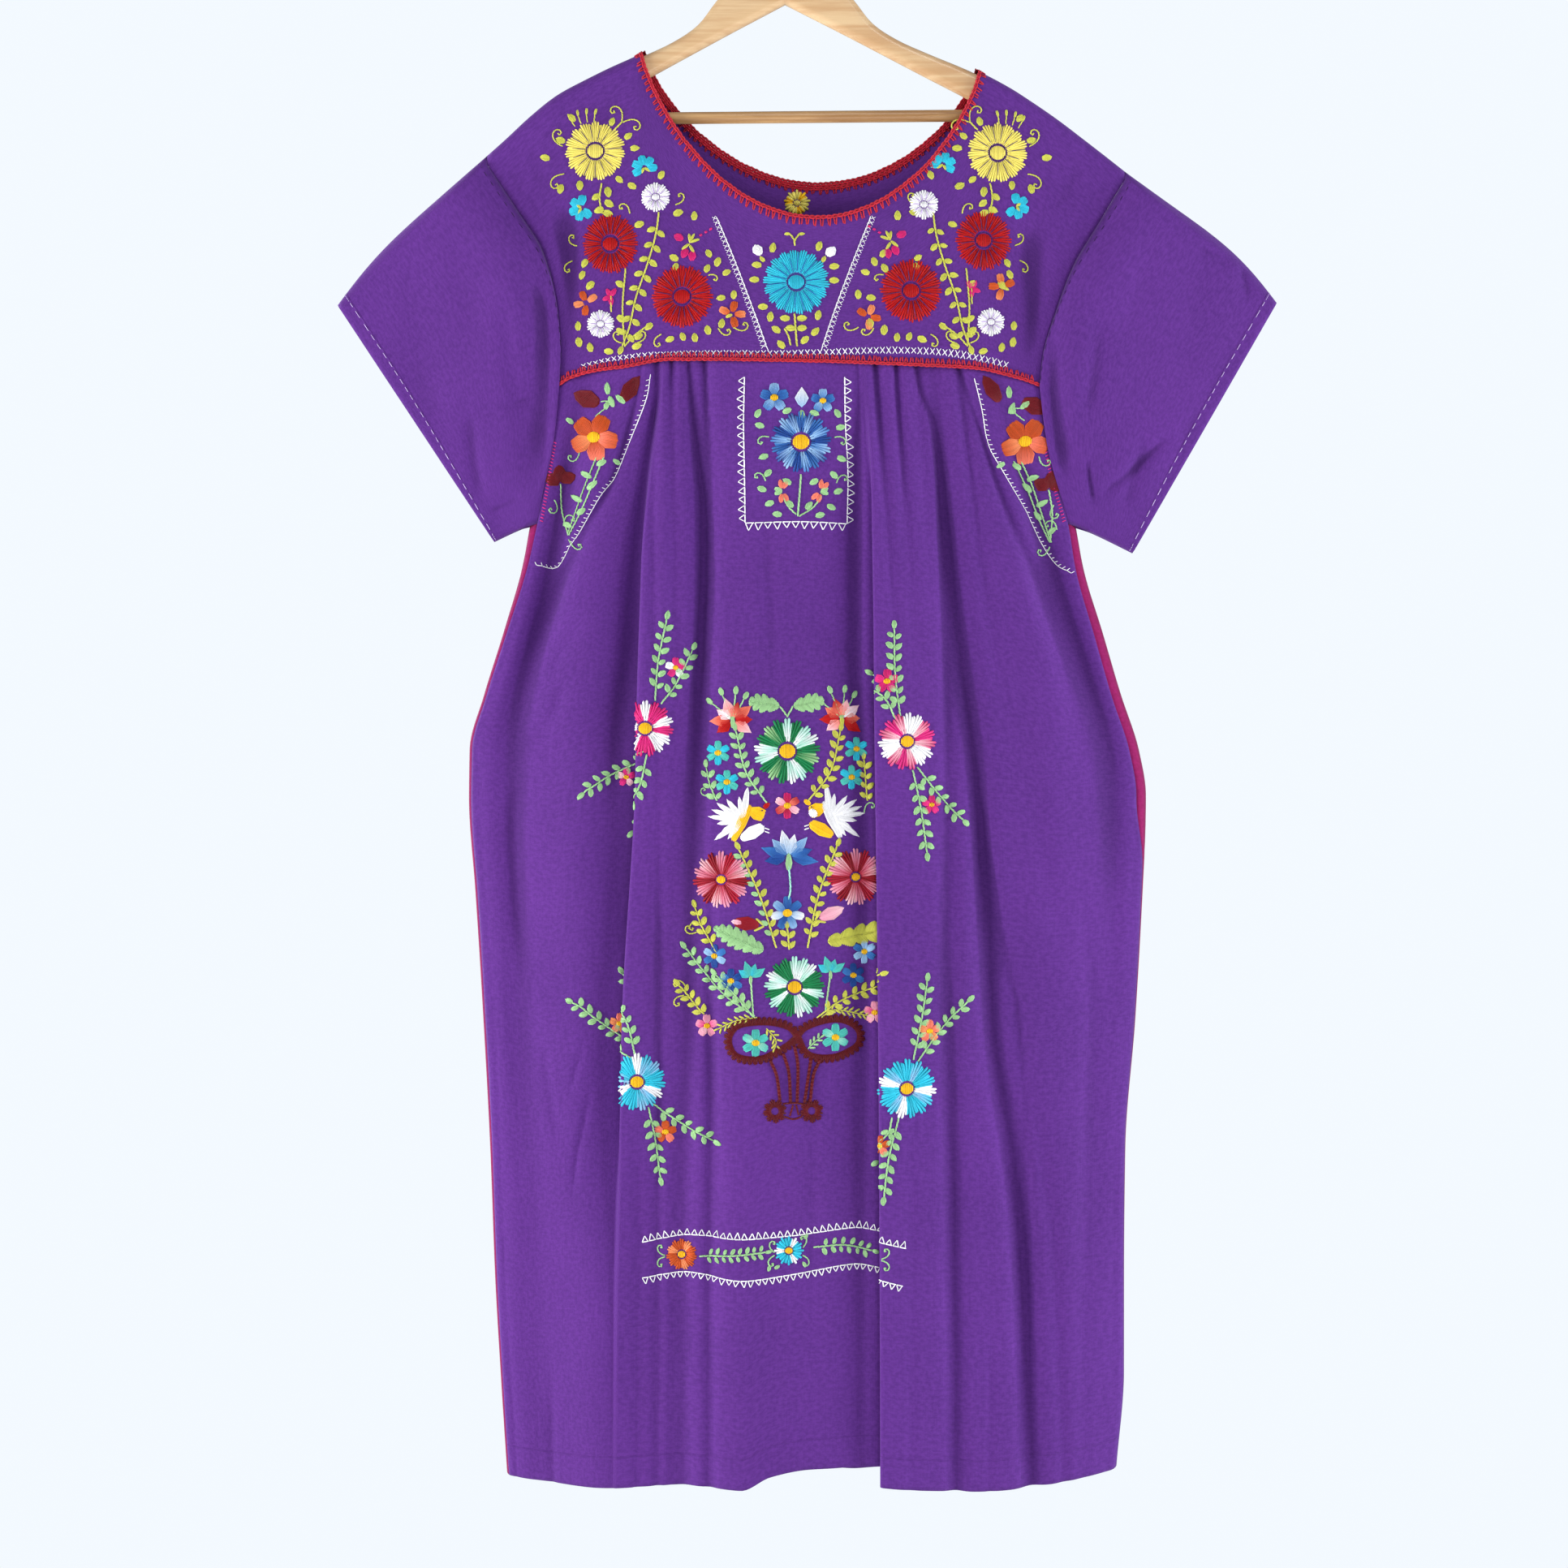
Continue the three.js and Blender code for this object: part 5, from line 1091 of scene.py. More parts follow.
for side, places in YOKE_FLOWERS.items():
    yellow, red, low_red, white, low_white, sky, low_sky, pink, low_pink, orange, low_orange = places
    # The plum rings of these daisies are painted shade between their petals.
    daisy(yoke, yellow, 24.7, 6.4, 15, 5, "yellow", "yellow", ring="plum")
    daisy(yoke, red, 23.1, 6.1, 20, 4, "red", "red", tall=1.07, ring="plum")
    daisy(yoke, low_red, 25.3, 6.4, 20, 4, "red", "red", tall=1.03, ring="plum")
    for place, size in ((white, 12.2), (low_white, 11.5)):
        daisy(yoke, place, size, size * 0.24, 10, 4, "white", "white", ring="lilac")
    floret(yoke, sky, 10.3, 5, "teal", None, turn=turned(105, side), arc=210, full=1.45)
    floret(yoke, low_sky, 10.3, 5, "teal", None, turn=turned(200, side), arc=230, full=1.4)
    for place, angle in ((sky, 90), (low_sky, 0)):
        leaf(yoke, place, turned(angle - 120, side), 6, 2.4, "lime")
        leaf(yoke, place, turned(angle + 150, side), 5, 2.4, "lime")
    for dx, dz, angle in ((-5, 2, 150), (3, -7, 260), (-2, -5, 245)):
        leaf(yoke, beside(pink, dx, dz, side), turned(angle, side), 8.6, 6.6, "pink")
    for dx, dz, angle in ((0, 0, 60), (1, 0, 20), (1, -1, 100), (0, -2, 300), (0, -1, 220)):
        leaf(yoke, beside(pink, dx, dz, side), turned(angle, side), 8, 2.6, "lime")
    for i in range(3):
        leaf(yoke, beside(pink, 8 + 4 * i, 5 + 2.4 * i, side), turned(30, side), 2.6, 2, "pink")
    for angle in (60, 120, 200, 270):
        leaf(yoke, low_pink, turned(angle, side), 7.5, 4.4, "pink")
    stem(yoke, [low_pink, (low_pink[0], low_pink[1] - 12)], "lime")
    floret(yoke, orange, 10.9, 4, "orange", None, tips="orange peach", turn=turned(40, side), arc=230)
    floret(yoke, low_orange, 10.3, 4, "peach orange", None, turn=turned(150, side), arc=230)
    leaf(yoke, orange, turned(205, side), 6, 3, "lime")
    for x, z, angle in YOKE_LEAVES:
        size = yoke.dice.uniform(0.9, 1.12)
        point, aim = over((x, z), side), turned(angle, side)
        leaf(yoke, point - way(aim) * 3.8 * size, aim, 8.0 * size, 5.6 * size, "lime")
    for x, z, angle, size, hand in YOKE_CURLS:
        curl(yoke, over((x, z), side), turned(angle, side), size, "lime", hand * -side)
    main_stem = [over(p, side) for p in ((-99.7, -270.2), (-102.3, -288.6), (-108.8, -311.7),
                                         (-117.8, -338.1), (-122.9, -361.2), (-128.7, -376.6))]
    stem(yoke, [over((-135.1, -202.9), side), over((-128.7, -196.3), side)], "lime")
    sprig(yoke, main_stem, "lime", length=7.4, width=4.8, pitch=12.5, lean=62)
    for top, foot in (
            ((-145.4, -246.4), (-144.8, -270.2)),
            ((-126.1, -315), (-126.8, -376.6)),
            ((-107.5, -359.9), (-126.8, -376.6))):
        stem(yoke, [over(top, side), over(((top[0] + foot[0]) / 2 - 2, (top[1] + foot[1]) / 2), side),
                         over(foot, side)], "lime")
    for angle in (75, 88, 101, 114):
        base = beside(yellow, -4, 0, side)
        out = way(turned(angle + 8, side))
        stem(yoke, [base + out * 23.7, base + out * 30.1], "lime", width=0.9)
        leaf(yoke, base + out * 29.5, turned(angle, side), 5.4, 2.2, "lime")

# %% [markdown]
# Between the two halves is a keystone of cloth with one turquoise flower, framed by two slanting
# lines of open stitches. A row of crosses runs along the foot of the yoke.

# %% Yoke, middle and foot
middle = (9.7, -326.2)
# Its navy ring is painted shade between the turquoise petals.
daisy(yoke, middle, 26.9, 6.4, 18, 5, "teal", "teal", turn=96, ring="navy")
for x, z, angle in ((-20.6, -301.2, 120), (36.7, -302.5, 50)):
    leaf(yoke, (x, z) - way(angle) * 4, angle, 10, 8.5, "white")
    leaf(yoke, (x, z) - way(angle) * 10, angle + 10, 5.5, 3.6, "lime")
leaves(yoke,
       ((-9, -299.2, 80), (27.7, -297.9, 70), (-21.2, -312.4, 175), (39.3, -313.7, 5), (-23.2, -324.2, 180),
        (39.3, -324.9, 0), (-16.1, -346, 175), (-10.9, -354.6, 85), (27, -353.3, 75), (1.3, -355.2, 175),
        (13.5, -355.2, 5), (5.8, -363.1, 175), (13.5, -363.1, 5), (-5.8, -364.4, 150), (24.5, -366.3, 50),
        (-1.9, -376.6, 130), (16.1, -372.8, 40)), 8.4, 5.6, "lime", back=3.5)
for angle in (52, 128):
    stem(yoke, [(8.4, -296.5), (8.4, -292.6), np.array((8.4, -292.6)) + way(angle) * 7], "lime")
    leaf(yoke, np.array((8.4, -292.6)) + way(angle) * 6, 8 if angle < 90 else 172, 4.5, 2.8, "lime")
stem(yoke, [(8.4, -351.9), (9, -361.2), (10.3, -377.3)], "lime", width=1.5)
stem(yoke, [(0.6, -363.7), (3.9, -370.2), (5.1, -376.6)], "lime")
for line, side in (([(-53.4, -274.1), (-38, -311.7), (-22.5, -353.3), (-12.9, -380.5)], -1),
                   ([(68.9, -274.1), (54.7, -309.7), (40.5, -348), (29.6, -380.5)], 1)):
    stem(yoke, line, "white", width=0.7, pitch=5)
    inner = [(x + (2.2 if side > 0 else -2.2), z) for x, z in line]
    crosses(yoke, inner, (3.6, 4.4), 4.0, width=0.5)
foot_line = [
    (-160.2, -393.4), (-133.2, -387.6), (-88.2, -384.3), (11.6, -384.3), (85.6, -381.8), (137.1, -384.3),
    (180.8, -393.4)]
crosses(yoke, [(x, z + 1.5) for x, z in foot_line], (3.6, 6.2), 5.0)

# %% [markdown]
# The back of the yoke is embroidered too, in the same thread but more simply. Its middle flower
# comes close to the neckline, so its reverse shows on the inside through the neck.

# %% Yoke, back
back_work = Sewing("yoke_back", yoke_surface(1), np.array([0, 1.0, 0]), 12)
inside_work = Sewing("yoke_inside", yoke_surface(1), np.array([0, -1.0, 0]), 13)
for work in (back_work, inside_work):
    heart = np.array((10.3, -257.6))
    daisy(work, heart, 10.9, 2.6, 9, 3, "yellow yellow gold", "yellow")
    for angle in (150, 30):
        leaf(work, heart + (0, -14.7), angle, 7.5, 4.6, "lime")
    stem(work, [heart + (0, -10.9), heart + (0, -19.2)], "lime")
for side in (-1, 1):
    daisy(back_work, over((-144.8, -222.7), side), 23.1, 5.8, 15, 4, "yellow", "yellow")
    daisy(back_work, over((-133.2, -293.9), side), 22.4, 5.8, 18, 4, "red", "red")
    daisy(back_work, over((-75.3, -328.2), side), 23.7, 5.8, 18, 4, "red", "red")
    daisy(back_work, over((-94.6, -258.9), side), 11.5, 2.9, 10, 3, "white", "white")
    daisy(back_work, over((-33.5, -357.9), side), 10.9, 2.9, 10, 3, "orange", "yellow")
    sprig(back_work,
          [over(p, side) for p in ((-95.9, -272.1), (-103.6, -301.8), (-113.9, -334.8), (-120.3, -374))],
          "lime", length=7.2, width=4.6, pitch=12, lean=60)
    leaves(back_work, [(*over((x, z), side), turned(angle, side)) for x, z, angle in YOKE_LEAVES[::2]],
           7, 4.6, "lime", back=3)
daisy(back_work, (9.7, -318.3), 24.4, 5.8, 18, 4, "teal", "teal")
stem(back_work, [(9.7, -344.7), (10.3, -374)], "lime", width=1.5)
leaves(back_work, ((1.3, -355.2, 175), (16.7, -355.2, 5), (1.9, -364.4, 190), (18.7, -364.4, -10)), 7.5, 4.6,
       "lime")
crosses(back_work, [(-155.7, -390.8), (-88.2, -383.1), (11.6, -383.1), (85.6, -381.8), (175.7, -390.8)],
        (3.6, 5), 5.2)
sewn("yoke_flowers", yoke)
sewn("yoke_flowers_back", back_work, inside_work)

# %% [markdown]
# Under the yoke seam a small frame of triangles holds a blue flower, and a spray with orange and
# dark red flowers fills each corner between the pleats and the sleeve.

# %% Upper skirt
OUT = np.array([0, -1.0, 0])
upper = Sewing("upper", skirt_surface, OUT, 21)
triangles(upper, [(-41.4, -401.5), (-42.1, -439.4), (-41.4, -477.8), (-40.8, -518.2)], 5.2, 7.4, side=-1)
triangles(upper, [(40, -518.2), (40.7, -477.8), (38.7, -439.4), (38.1, -401.5)], 5.2, 7.4, side=-1)
triangles(upper, [(-40.8, -518.2), (1.5, -517), (40, -518.2)], 5.6, 7.2, side=-1)
daisy(upper, (3.5, -453.5), 25, 6.7, 17, 4, "navy sky blue navy sky",
      tips="blue navy sky navy blue")
for x, z, size in ((-17.7, -418.2, 11.5), (20.8, -420.8, 9.6)):
    floret(upper, (x, z), size, 5, "blue navy sky", tips="sky blue blue")
petal(upper, (4.1, -426.5), 90, 17, 10, "sky", "white")
for x, z, up, down in ((-11.3, -492.6, 84, 280), (18.9, -492.6, 66, 240)):
    for angle in (up - 18, up + 18, down - 18, down + 18):
        leaf(upper, (x, z) + way(angle) * 2.2, angle, 7.6, 4.4, "salmon")
    for lean in (-20, 20):
        leaf(upper, (x, z), 180 + lean if x < 0 else lean, 7, 4.2, "leaf")
stem(upper, [(3.5, -479.8), (2.2, -497.1), (0.9, -512.5)], "leaf", width=1.4)
for points in (
        [(-10.6, -497.1), (-6.8, -504.8), (-0.4, -511.2)],
        [(19.5, -497.1), (12.4, -506.1), (2.2, -512.5)]):
    stem(upper, points, "leaf")
leaves(upper,
       ((-31.2, -431.7, 60), (33, -431.7, 120), (-28.6, -440.6, 170), (34.3, -441.9, 10), (-25.4, -465, 200),
        (34.9, -466.3, -20), (-22.2, -477.8, 220), (29.1, -479.1, -40), (-26.7, -491.3, 160),
        (32.3, -492.6, 20), (-20.9, -502.2, 200), (26.6, -504.8, -20), (-6.8, -485.5, 150),
        (13.1, -485.5, 30), (-4.9, -503.5, 130), (9.2, -504.8, 50), (-6.8, -428.5, 200), (13.1, -430.4, -20),
        (4.1, -432.9, 90), (-14.5, -511.2, 170), (17.6, -511.8, 10)), 8.0, 5.2, "leaf", back=3)
curls(upper,
      ((-22.2, -449.6, 170, 1), (30.4, -449.6, 10, -1), (-24.8, -484.3, 110, 1), (31.7, -485.5, 70, -1)),
      7.5)

SPRAYS = {  # ticked line, orange flower, dark red flower, two dark red leaves, green leaves, stem foot
    -1: ([(-116.5, -399), (-120.3, -420.1), (-133.8, -452.2), (-148, -481), (-162.1, -497.1),
          (-197.2, -548.4), (-218, -550.3)], (-162.5, -449), (-191.8, -484.3),
         [(-156.9, -422.7, 155, 24, 13), (-139.6, -420.8, 54, 26, 11)],
         [(-150.5, -411.1), (-147.3, -421.4), (-139.6, -419.5)], (-190.1, -530.4)),
    1: ([(141.4, -402.2), (147.9, -426.5), (154.6, -452.2), (167.8, -474.6), (217.1, -542), (236.4, -556.7)],
        (184.1, -452.2), (207.9, -488.7), [(179.3, -420.1, -18, 24, 13), (162.6, -420.8, 124, 26, 11)],
        [(169.6, -413.7), (171.7, -426.5), (181.9, -423.3)], (217, -531.7))}
for side, (line, orange, wine, dark, green, foot) in SPRAYS.items():
    orange, wine, foot = np.array(orange), np.array(wine), np.array(foot)
    ticked_line(upper, line, 2.6, side=side)
    floret(upper, orange, 19.2, 5, "ember ember peach ember salmon",
           tips="orange orange ember salmon orange", turn=60, full=0.98)
    for lean in (-68, 0, 68):
        leaf(upper, wine, 90 + lean, 14.1, 11, "claret")
    for x, z, angle, length, width in dark:
        leaf(upper, (x, z), angle, length, width * 1.15, "claret")
    stem(upper, [np.array(green[1]) + (side * 8, 1), green[1], orange + (-side * 2, 16.7)], "leaf", width=1.0)
    for place, angle in zip(green, (94, 90 - side * 20, 90 - side * 50)):
        leaf(upper, np.array(place) - way(angle) * 4, angle, 10, 5, "leaf")
    for shift in (-1.6, 1.6):
        top = orange + (-side * 4 + shift * 1.8, -16.7)
        stem(upper, [top, (top + foot) / 2 + (shift * 0.7, 0), foot + (shift * 0.35, 0)], "leaf")
    stem(upper, [wine + (0, -2), (wine + foot) / 2 + (side * 2, 0), foot], "leaf")
    for along, angle, size in (
            (0.1, 30, 8), (0.25, 150, 9), (0.4, 40, 10), (0.55, 150, 9), (0.72, 38, 8), (0.9, 140, 7)):
        base = orange + (-side * 4, -16.7)
        leaf(upper, base + (foot - base) * along, angle if side < 0 else 180 - angle, size * 1.15, 5, "leaf")
    for place, angle, hand in ((orange + (side * 12, -12), -70, 1), (foot + (side * 3, 10), 110, 1),
                               (foot + (0, -4), 250, -1), (wine + (side * 6, -14), 250, 1)):
        curl(upper, place, angle if side > 0 else 180 - angle, 8.5, "leaf", hand * side)
    for place, angle in (
            (orange + (side * -10, 22), 110),
            (orange + (side * 16, 12), 30),
            (orange + (-side * 14, -18), 215)):
        leaf(upper, place, angle if side > 0 else 180 - angle, 7, 4.4, "leaf")
sewn("upper_flowers", upper)

# %% [markdown]
# Four slanting sprays surround the bouquet: one big shaded daisy each, with leafy sprigs running up
# and down from it, and small flowers between the sprigs. Two of them are partly swallowed by a fold.

# %% Slanting sprays
sprays = Sewing("sprays", skirt_surface, OUT, 31)
DRAWN = 0.64                     # mm for each unit in which the sprays' flowers are listed
SPRAY_ROWS = [  # daisy, colours, tips, sprigs, small flowers
    ((-119.7, -681.1), 36, "white magenta magenta white white magenta", "white pink pink white white pink",
     [[(-112, -658.7), (-109.4, -628.6), (-103, -594.6)],
      [(-106.8, -661.3), (-94, -643.3), (-83.1, -618.9)],
      [(-120.3, -699.1), (-167.1, -718.3), (-191.3, -737.6)],
      [(-118.4, -702.3), (-126.1, -731.2), (-152.3, -763.9)]],
     [((-95.9, -633), 13, "magenta white"), ((-158.3, -721.5), 12, "magenta blush")]),
    ((113.3, -692), 37, "white blush magenta blush white", "white pink magenta pink white",
     [[(106.9, -671.5), (101.1, -638.2), (98.4, -602.9)],
      [(103.2, -674.1), (91.9, -656.1), (60.5, -638.2)],
      [(122.2, -712.6), (139.6, -734.4), (159.1, -755.5)],
      [(118.5, -715.1), (125.7, -747.2), (130.7, -779.9)]],
     [((95.1, -644.6), 15, "pink magenta"), ((133.9, -742.1), 12, "pink magenta")]),
    ((-126.1, -960.1), 37, "white teal teal teal sky", "white teal teal sky teal",
     [[(-127.4, -939.6), (-135.1, -910.7), (-157.7, -876.7)],
      [(-131.2, -940.9), (-169.9, -917.8), (-196.9, -901.1)],
      [(-113.3, -978.1), (-90.2, -993.5), (-65.8, -1006.3)],
      [(-117.1, -980.6), (-112, -1006.9), (-107.5, -1035.8)]],
     [((-159.2, -915.9), 13, "salmon peach"), ((-103.6, -999.9), 14, "orange salmon")]),
    ((117.4, -965.3), 38, "teal teal sky white", "teal teal teal white",
     [[(122.2, -942.2), (128.2, -910.7), (132.2, -881.2)],
      [(126.1, -943.4), (143.7, -919.1), (164.6, -899.2)],
      [(111.3, -988.3), (104, -1019.8), (100.6, -1049.9)],
      [(106.1, -988.3), (99.9, -1003.7), (65, -1023)]],
     [((134.7, -920.4), 14, "salmon peach"), ((96.8, -1010.1), 13, "orange salmon")])]
for place, size, colours, tips, lines, small in SPRAY_ROWS:
    for points in lines:
        sprig(sprays, points, "leaf", length=7.2, width=4.6, pitch=8.8)
    for centre, radius, shades in small:
        floret(sprays, centre, radius * DRAWN, 5, shades)
    daisy(sprays, place, size * DRAWN, 5.1, 15, 4, colours, tips=tips)
sewn("skirt_sprays", sprays)

# %% [markdown]
# The bouquet fills the middle of the skirt. It is built in tiers: lilies and serrated leaves on
# top, then a green daisy, two birds that face each other and a blue lily. Motifs of the same shape
# are listed together.

# %% Bouquet, upper half
bouquet = Sewing("bouquet", skirt_surface, OUT, 41)
toothed_leaf(bouquet, (-13.2, -663.8), (-38.2, -659.3), 15, "leaf", teeth=4)
toothed_leaf(bouquet, (-2.9, -663.8), (22.1, -658.7), 15, "leaf", teeth=4)
for foot in ((-13.2, -663.8), (-2.9, -663.8)):
    stem(bouquet, [(-7.4, -671.5), foot], "leaf")
for place, feet, tips, calyx in (
        ((-50.4, -674.7), "salmon red red salmon salmon white red red",
         "blush red salmon red blush blush salmon red", "leaf"),
        ((35.5, -673.4), "red red white salmon salmon red red salmon",
         "red salmon blush blush red salmon red blush", "lime")):
    for angle, reach in ((62, 29), (84, 32), (112, 33), (140, 32)):
        end = place + way(angle) * DRAWN * reach
        stem(bouquet, [place, end], "leaf", width=1.1)
        leaf(bouquet, end, angle, 7, 4.4, "leaf")
    lily(bouquet, place, 18.6, feet, tips, arc=252, turn=92, width=0.46, calyx=calyx)
daisy(bouquet, (-7.4, -699.1), 26.9, 6.4, 17, 4, "white forest forest forest mint",
      tips="mint forest leaf forest white")
for place in ((-61.9, -700.4), (-54.9, -723.5), (47.1, -697.2), (43.2, -719.6)):
    floret(bouquet, place, 9.6, 6, "aqua teal")
for points, colour in (
        ([(-24.1, -739.5), (-40.1, -715.1), (-47.8, -683.1)], "leaf"),
        ([(8, -739.5), (26.6, -715.1), (34.3, -683.1)], "lime"),
        ([(-63.2, -737.6), (-68.4, -724.8), (-70.9, -711.9)], "leaf"),
        ([(56.1, -737.6), (54.8, -721.5), (53.5, -705.5)], "lime")):
    sprig(bouquet, points, colour, pitch=8.2)
floret(bouquet, (-7.4, -742.1), 10.3, 6, "cherry rose salmon", tips="pink blush cherry")
curl(bouquet, (-65.8, -733.1), 200, 8, "leaf", -1)
curl(bouquet, (53.5, -747.2), 80, 8, "leaf", -1)


WINGS = [  # tips of the feathers, and their width
    (3, 27, 5.4), (-4, 19, 4.6), (-14, 17, 5), (-22, 14, 5), (-26, 8.5, 4.8), (-29, 3, 4.8), (-22, -3, 4.6),
    (-18, -9, 4.6), (-24, -16, 5.2), (-13, -15, 4.6)]


def bird(work, chest, side, head, breast, band, beak):
    """A small bird in flight, drawn in feathers around its chest. Side is the way it faces."""
    chest = np.array(chest)
    at = lambda x, z: chest + (side * x, z)
    aim = lambda x, z: math.degrees(math.atan2(z, side * x))
    for x, z, width in WINGS:
        leaf(work, at(-1, 0), aim(x + 1, z), math.hypot(x + 1, z), width, "white")
    leaf(work, at(-3, -15), aim(18, 10), 22, 10.5, breast, blunt=0.6)
    leaf(work, at(-9, -17), aim(14, 30), 33, 8, band, blunt=0.8)
    leaf(work, at(4, 8), aim(10, -4), 13, 11, head, blunt=0.8)
    leaf(work, at(15, 9.5), aim(3, 2.4), 6.6, 4.2, beak)
    work.stitch(at(13.6, 7.6), at(14.9, 7.8), "plum", width=1.1, lift=3.6)
    for shift in (0, 2.6):
        work.stitch(at(16, -6 - shift), at(20, -7.5 - shift), "white" if head == "gold" else "gold",
                    width=1.0)


bird(bouquet, (-41.4, -753.6), 1, "gold", "white", "gold", "red")
bird(bouquet, (25.9, -751), -1, "gold", "gold", "white", "gold")
disc(bouquet, np.array((25.9, -751)) + (-13, 3), 3.6, "white", degrees=40, lift=3.2)
lily(bouquet, (-6.2, -783.1), 23.7, "navy blue blue sky sky blue navy navy",
     "blue navy sky white white sky blue navy", arc=196, turn=90, width=0.34)
leaf(bouquet, (-6.2, -793.4), 90, 13, 5.6, "leaf")
stem(bouquet, [(-6.2, -789.5), (-4.9, -808.1), (-6.8, -816.5)], "mint")
floret(bouquet, (-7.4, -826.7), 13.5, 7, "navy blue sky", tips="blue sky white")

# %% [markdown]
# Below the blue lily the sprays lean outwards from the foot of the bouquet, and dark red thread draws
# the basket: two thick looped bows, five canes that hang from them and two rosettes at their ends.

# %% Bouquet, lower half
for place in ((-59.4, -800.4), (46.4, -798.5)):
    daisy(bouquet, place, 23.4, 3.5, 15, 4, "cherry crimson cherry cherry crimson",
          tips="rose crimson blush rose cherry")
for points, colour in (
        ([(-16.4, -853.7), (-28.6, -814.5), (-45.3, -776.7)], "lime leaf"),
        ([(8.6, -853.7), (17.6, -811.3), (31.7, -774.1)], "lime"),
        ([(-6.2, -854.9), (-6.8, -843.4), (-7.4, -838.9)], "lime"),
        ([(-33.7, -907.5), (-59.4, -888.3), (-87.6, -854.9)], "leaf"),
        ([(16.3, -908.8), (40, -893.4), (94.9, -875.5)], "lime"),
        ([(-63.2, -857.5), (-74.8, -837), (-79.9, -822.9)], "lime"),
        ([(-73.5, -906.3), (-83.8, -894.7), (-92.7, -884.4)], "lime"),
        ([(-33.7, -908.8), (-49.8, -889.6), (-63.2, -875.5)], "leaf")):
    sprig(bouquet, points, colour, pitch=8.0)
for base, tip, colour in (
        ((-25.4, -856.9), (-66.4, -837.6), "leaf"),
        ((22.7, -849.8), (92.4, -835.7), "lime")):
    toothed_leaf(bouquet, base, tip, 17, colour, teeth=7)
bud(bouquet, (-29.2, -836.3), 172, 23, "crimson", calyx="lime", tip="crimson")
leaf(bouquet, (-42.7, -834.4), 172, 9, 4.6, "rose", "blush")
bud(bouquet, (17.6, -831.2), 24, 22, "rose", calyx="lime", tip="blush")
for place, size, colours in (((-64.5, -860.7), 15, "navy sky blue"), ((-51.7, -880), 15, "navy blue navy"),
                             ((53.5, -857.5), 15, "sky blue sky"), ((44.5, -876.1), 15, "navy blue navy")):
    floret(bouquet, place, size * DRAWN, 6, colours)
for place in ((-36.3, -878), (26.6, -874.2)):
    lily(bouquet, place, 14.1, "aqua teal aqua aqua", "aqua aqua aqua teal", arc=110)
    stem(bouquet, [place, np.array(place) + (2 if place[0] < 0 else -4, -29.5)], "leaf")
daisy(bouquet, (-1.7, -885.1), 25, 5.4, 17, 4, "white forest forest mint white forest",
      tips="mint forest forest white mint forest")
for place in ((-70.9, -915.9), (61.8, -905.6)):
    floret(bouquet, place, 9, 5, "rose magenta blush", tips="rose")
curls(bouquet,
      ((-74.8, -837, 150, 1), (-78.6, -842.1, 200, -1), (-87.6, -885.7, 120, 1), (-89.5, -892.1, 190, 1)), 8,
      "lime")


def scallops(work, points, thick, colour, scallop=4.0):
    """A thick closed band of short stitches across it, with a wavy outer edge."""
    path = path_through([*points, points[0]], 1.0)[:-1]
    heading = unit(crosswise(np.gradient(np.vstack([path[-1:], path, path[:1]]), axis=0)[1:-1]))
    heading = heading * np.sign((heading * (path - path.mean(0))).sum())
    wave = 0.42 + 0.46 * np.abs(np.sin(np.pi * np.arange(len(path)) / scallop))[:, None]
    work.stitch(path - heading * thick * 0.5, path + heading * thick * wave, colour, width=1.4)


BASKET_LOOPS = (
    [(0.3, -924.2), (-5.5, -917.2), (-17.7, -913.3), (-32.4, -912.7), (-45.9, -915.2), (-52.3, -922.3),
     (-53, -930), (-48.5, -938.3), (-38.9, -941.5), (-26.7, -940.9), (-15.8, -935.8), (-6.8, -930.6)],
    [(0.9, -923.6), (6.7, -917.2), (20.1, -912), (33, -910.7), (43.9, -914.6), (49.6, -921.6), (48.4, -930.6),
     (40, -936.4), (29.1, -940.2), (15.7, -940.2), (6.7, -935.8)])
for place in ((-32.4, -928.7), (30.4, -924.8)):
    floret(bouquet, place, 10.9, 6, "aqua mint aqua", tips="aqua")
for points, colour in (
        ([(-23.5, -917.8), (-16.4, -926.8), (-17.7, -933.2)], "lime"),
        ([(9.2, -933.2), (13.7, -928.7), (18.9, -924.8)], "leaf"),
        ([(-31.8, -908.8), (-47.8, -911.4), (-61.3, -917.8)], "lime"),
        ([(18.9, -909.5), (30.4, -903), (56.1, -908.2)], "lime")):
    sprig(bouquet, points, colour, length=4.8, width=1.4, pitch=4.2, lean=40, stalk=1.0)
for points in BASKET_LOOPS:
    scallops(bouquet, points, 5.4, "wine")
for points in (
        [(-20.9, -942.8), (-15.8, -955), (-13.2, -974.2)],
        [(-10.6, -937.7), (-6.2, -952.4), (-4.9, -975.5)],
        [(-1.7, -931.9), (0.9, -947.3), (0.3, -975.5)],
        [(11.2, -942.2), (8.6, -959.5), (6, -976.2)],
        [(18.2, -942.8), (13.1, -954.4), (10.5, -975.5)]):
    stem(bouquet, points, "wine", width=2.6, pitch=3)
for x, z in ((-17.1, -982.6), (11.8, -982.6)):
    scallops(bouquet, np.array([x, z]) + way(np.arange(0, 360, 40)) * 5.4, 5.2, "wine")
for points in (
        [(-10.6, -976.8), (-1.7, -976.2), (6.7, -977.4)],
        [(-9.4, -987.1), (-2.3, -989), (4.8, -986.4)],
        [(-2.9, -978.1), (-5.5, -986.4)],
        [(-0.4, -978.1), (1.5, -985.8)]):
    stem(bouquet, points, "wine", width=1.5, pitch=3)
sewn("bouquet_flowers", bouquet)

# %% [markdown]
# Near the hem a short band runs across the middle: two lines of triangles with a garland between
# them. The right fold hides part of it, and the rest comes out on the other side.

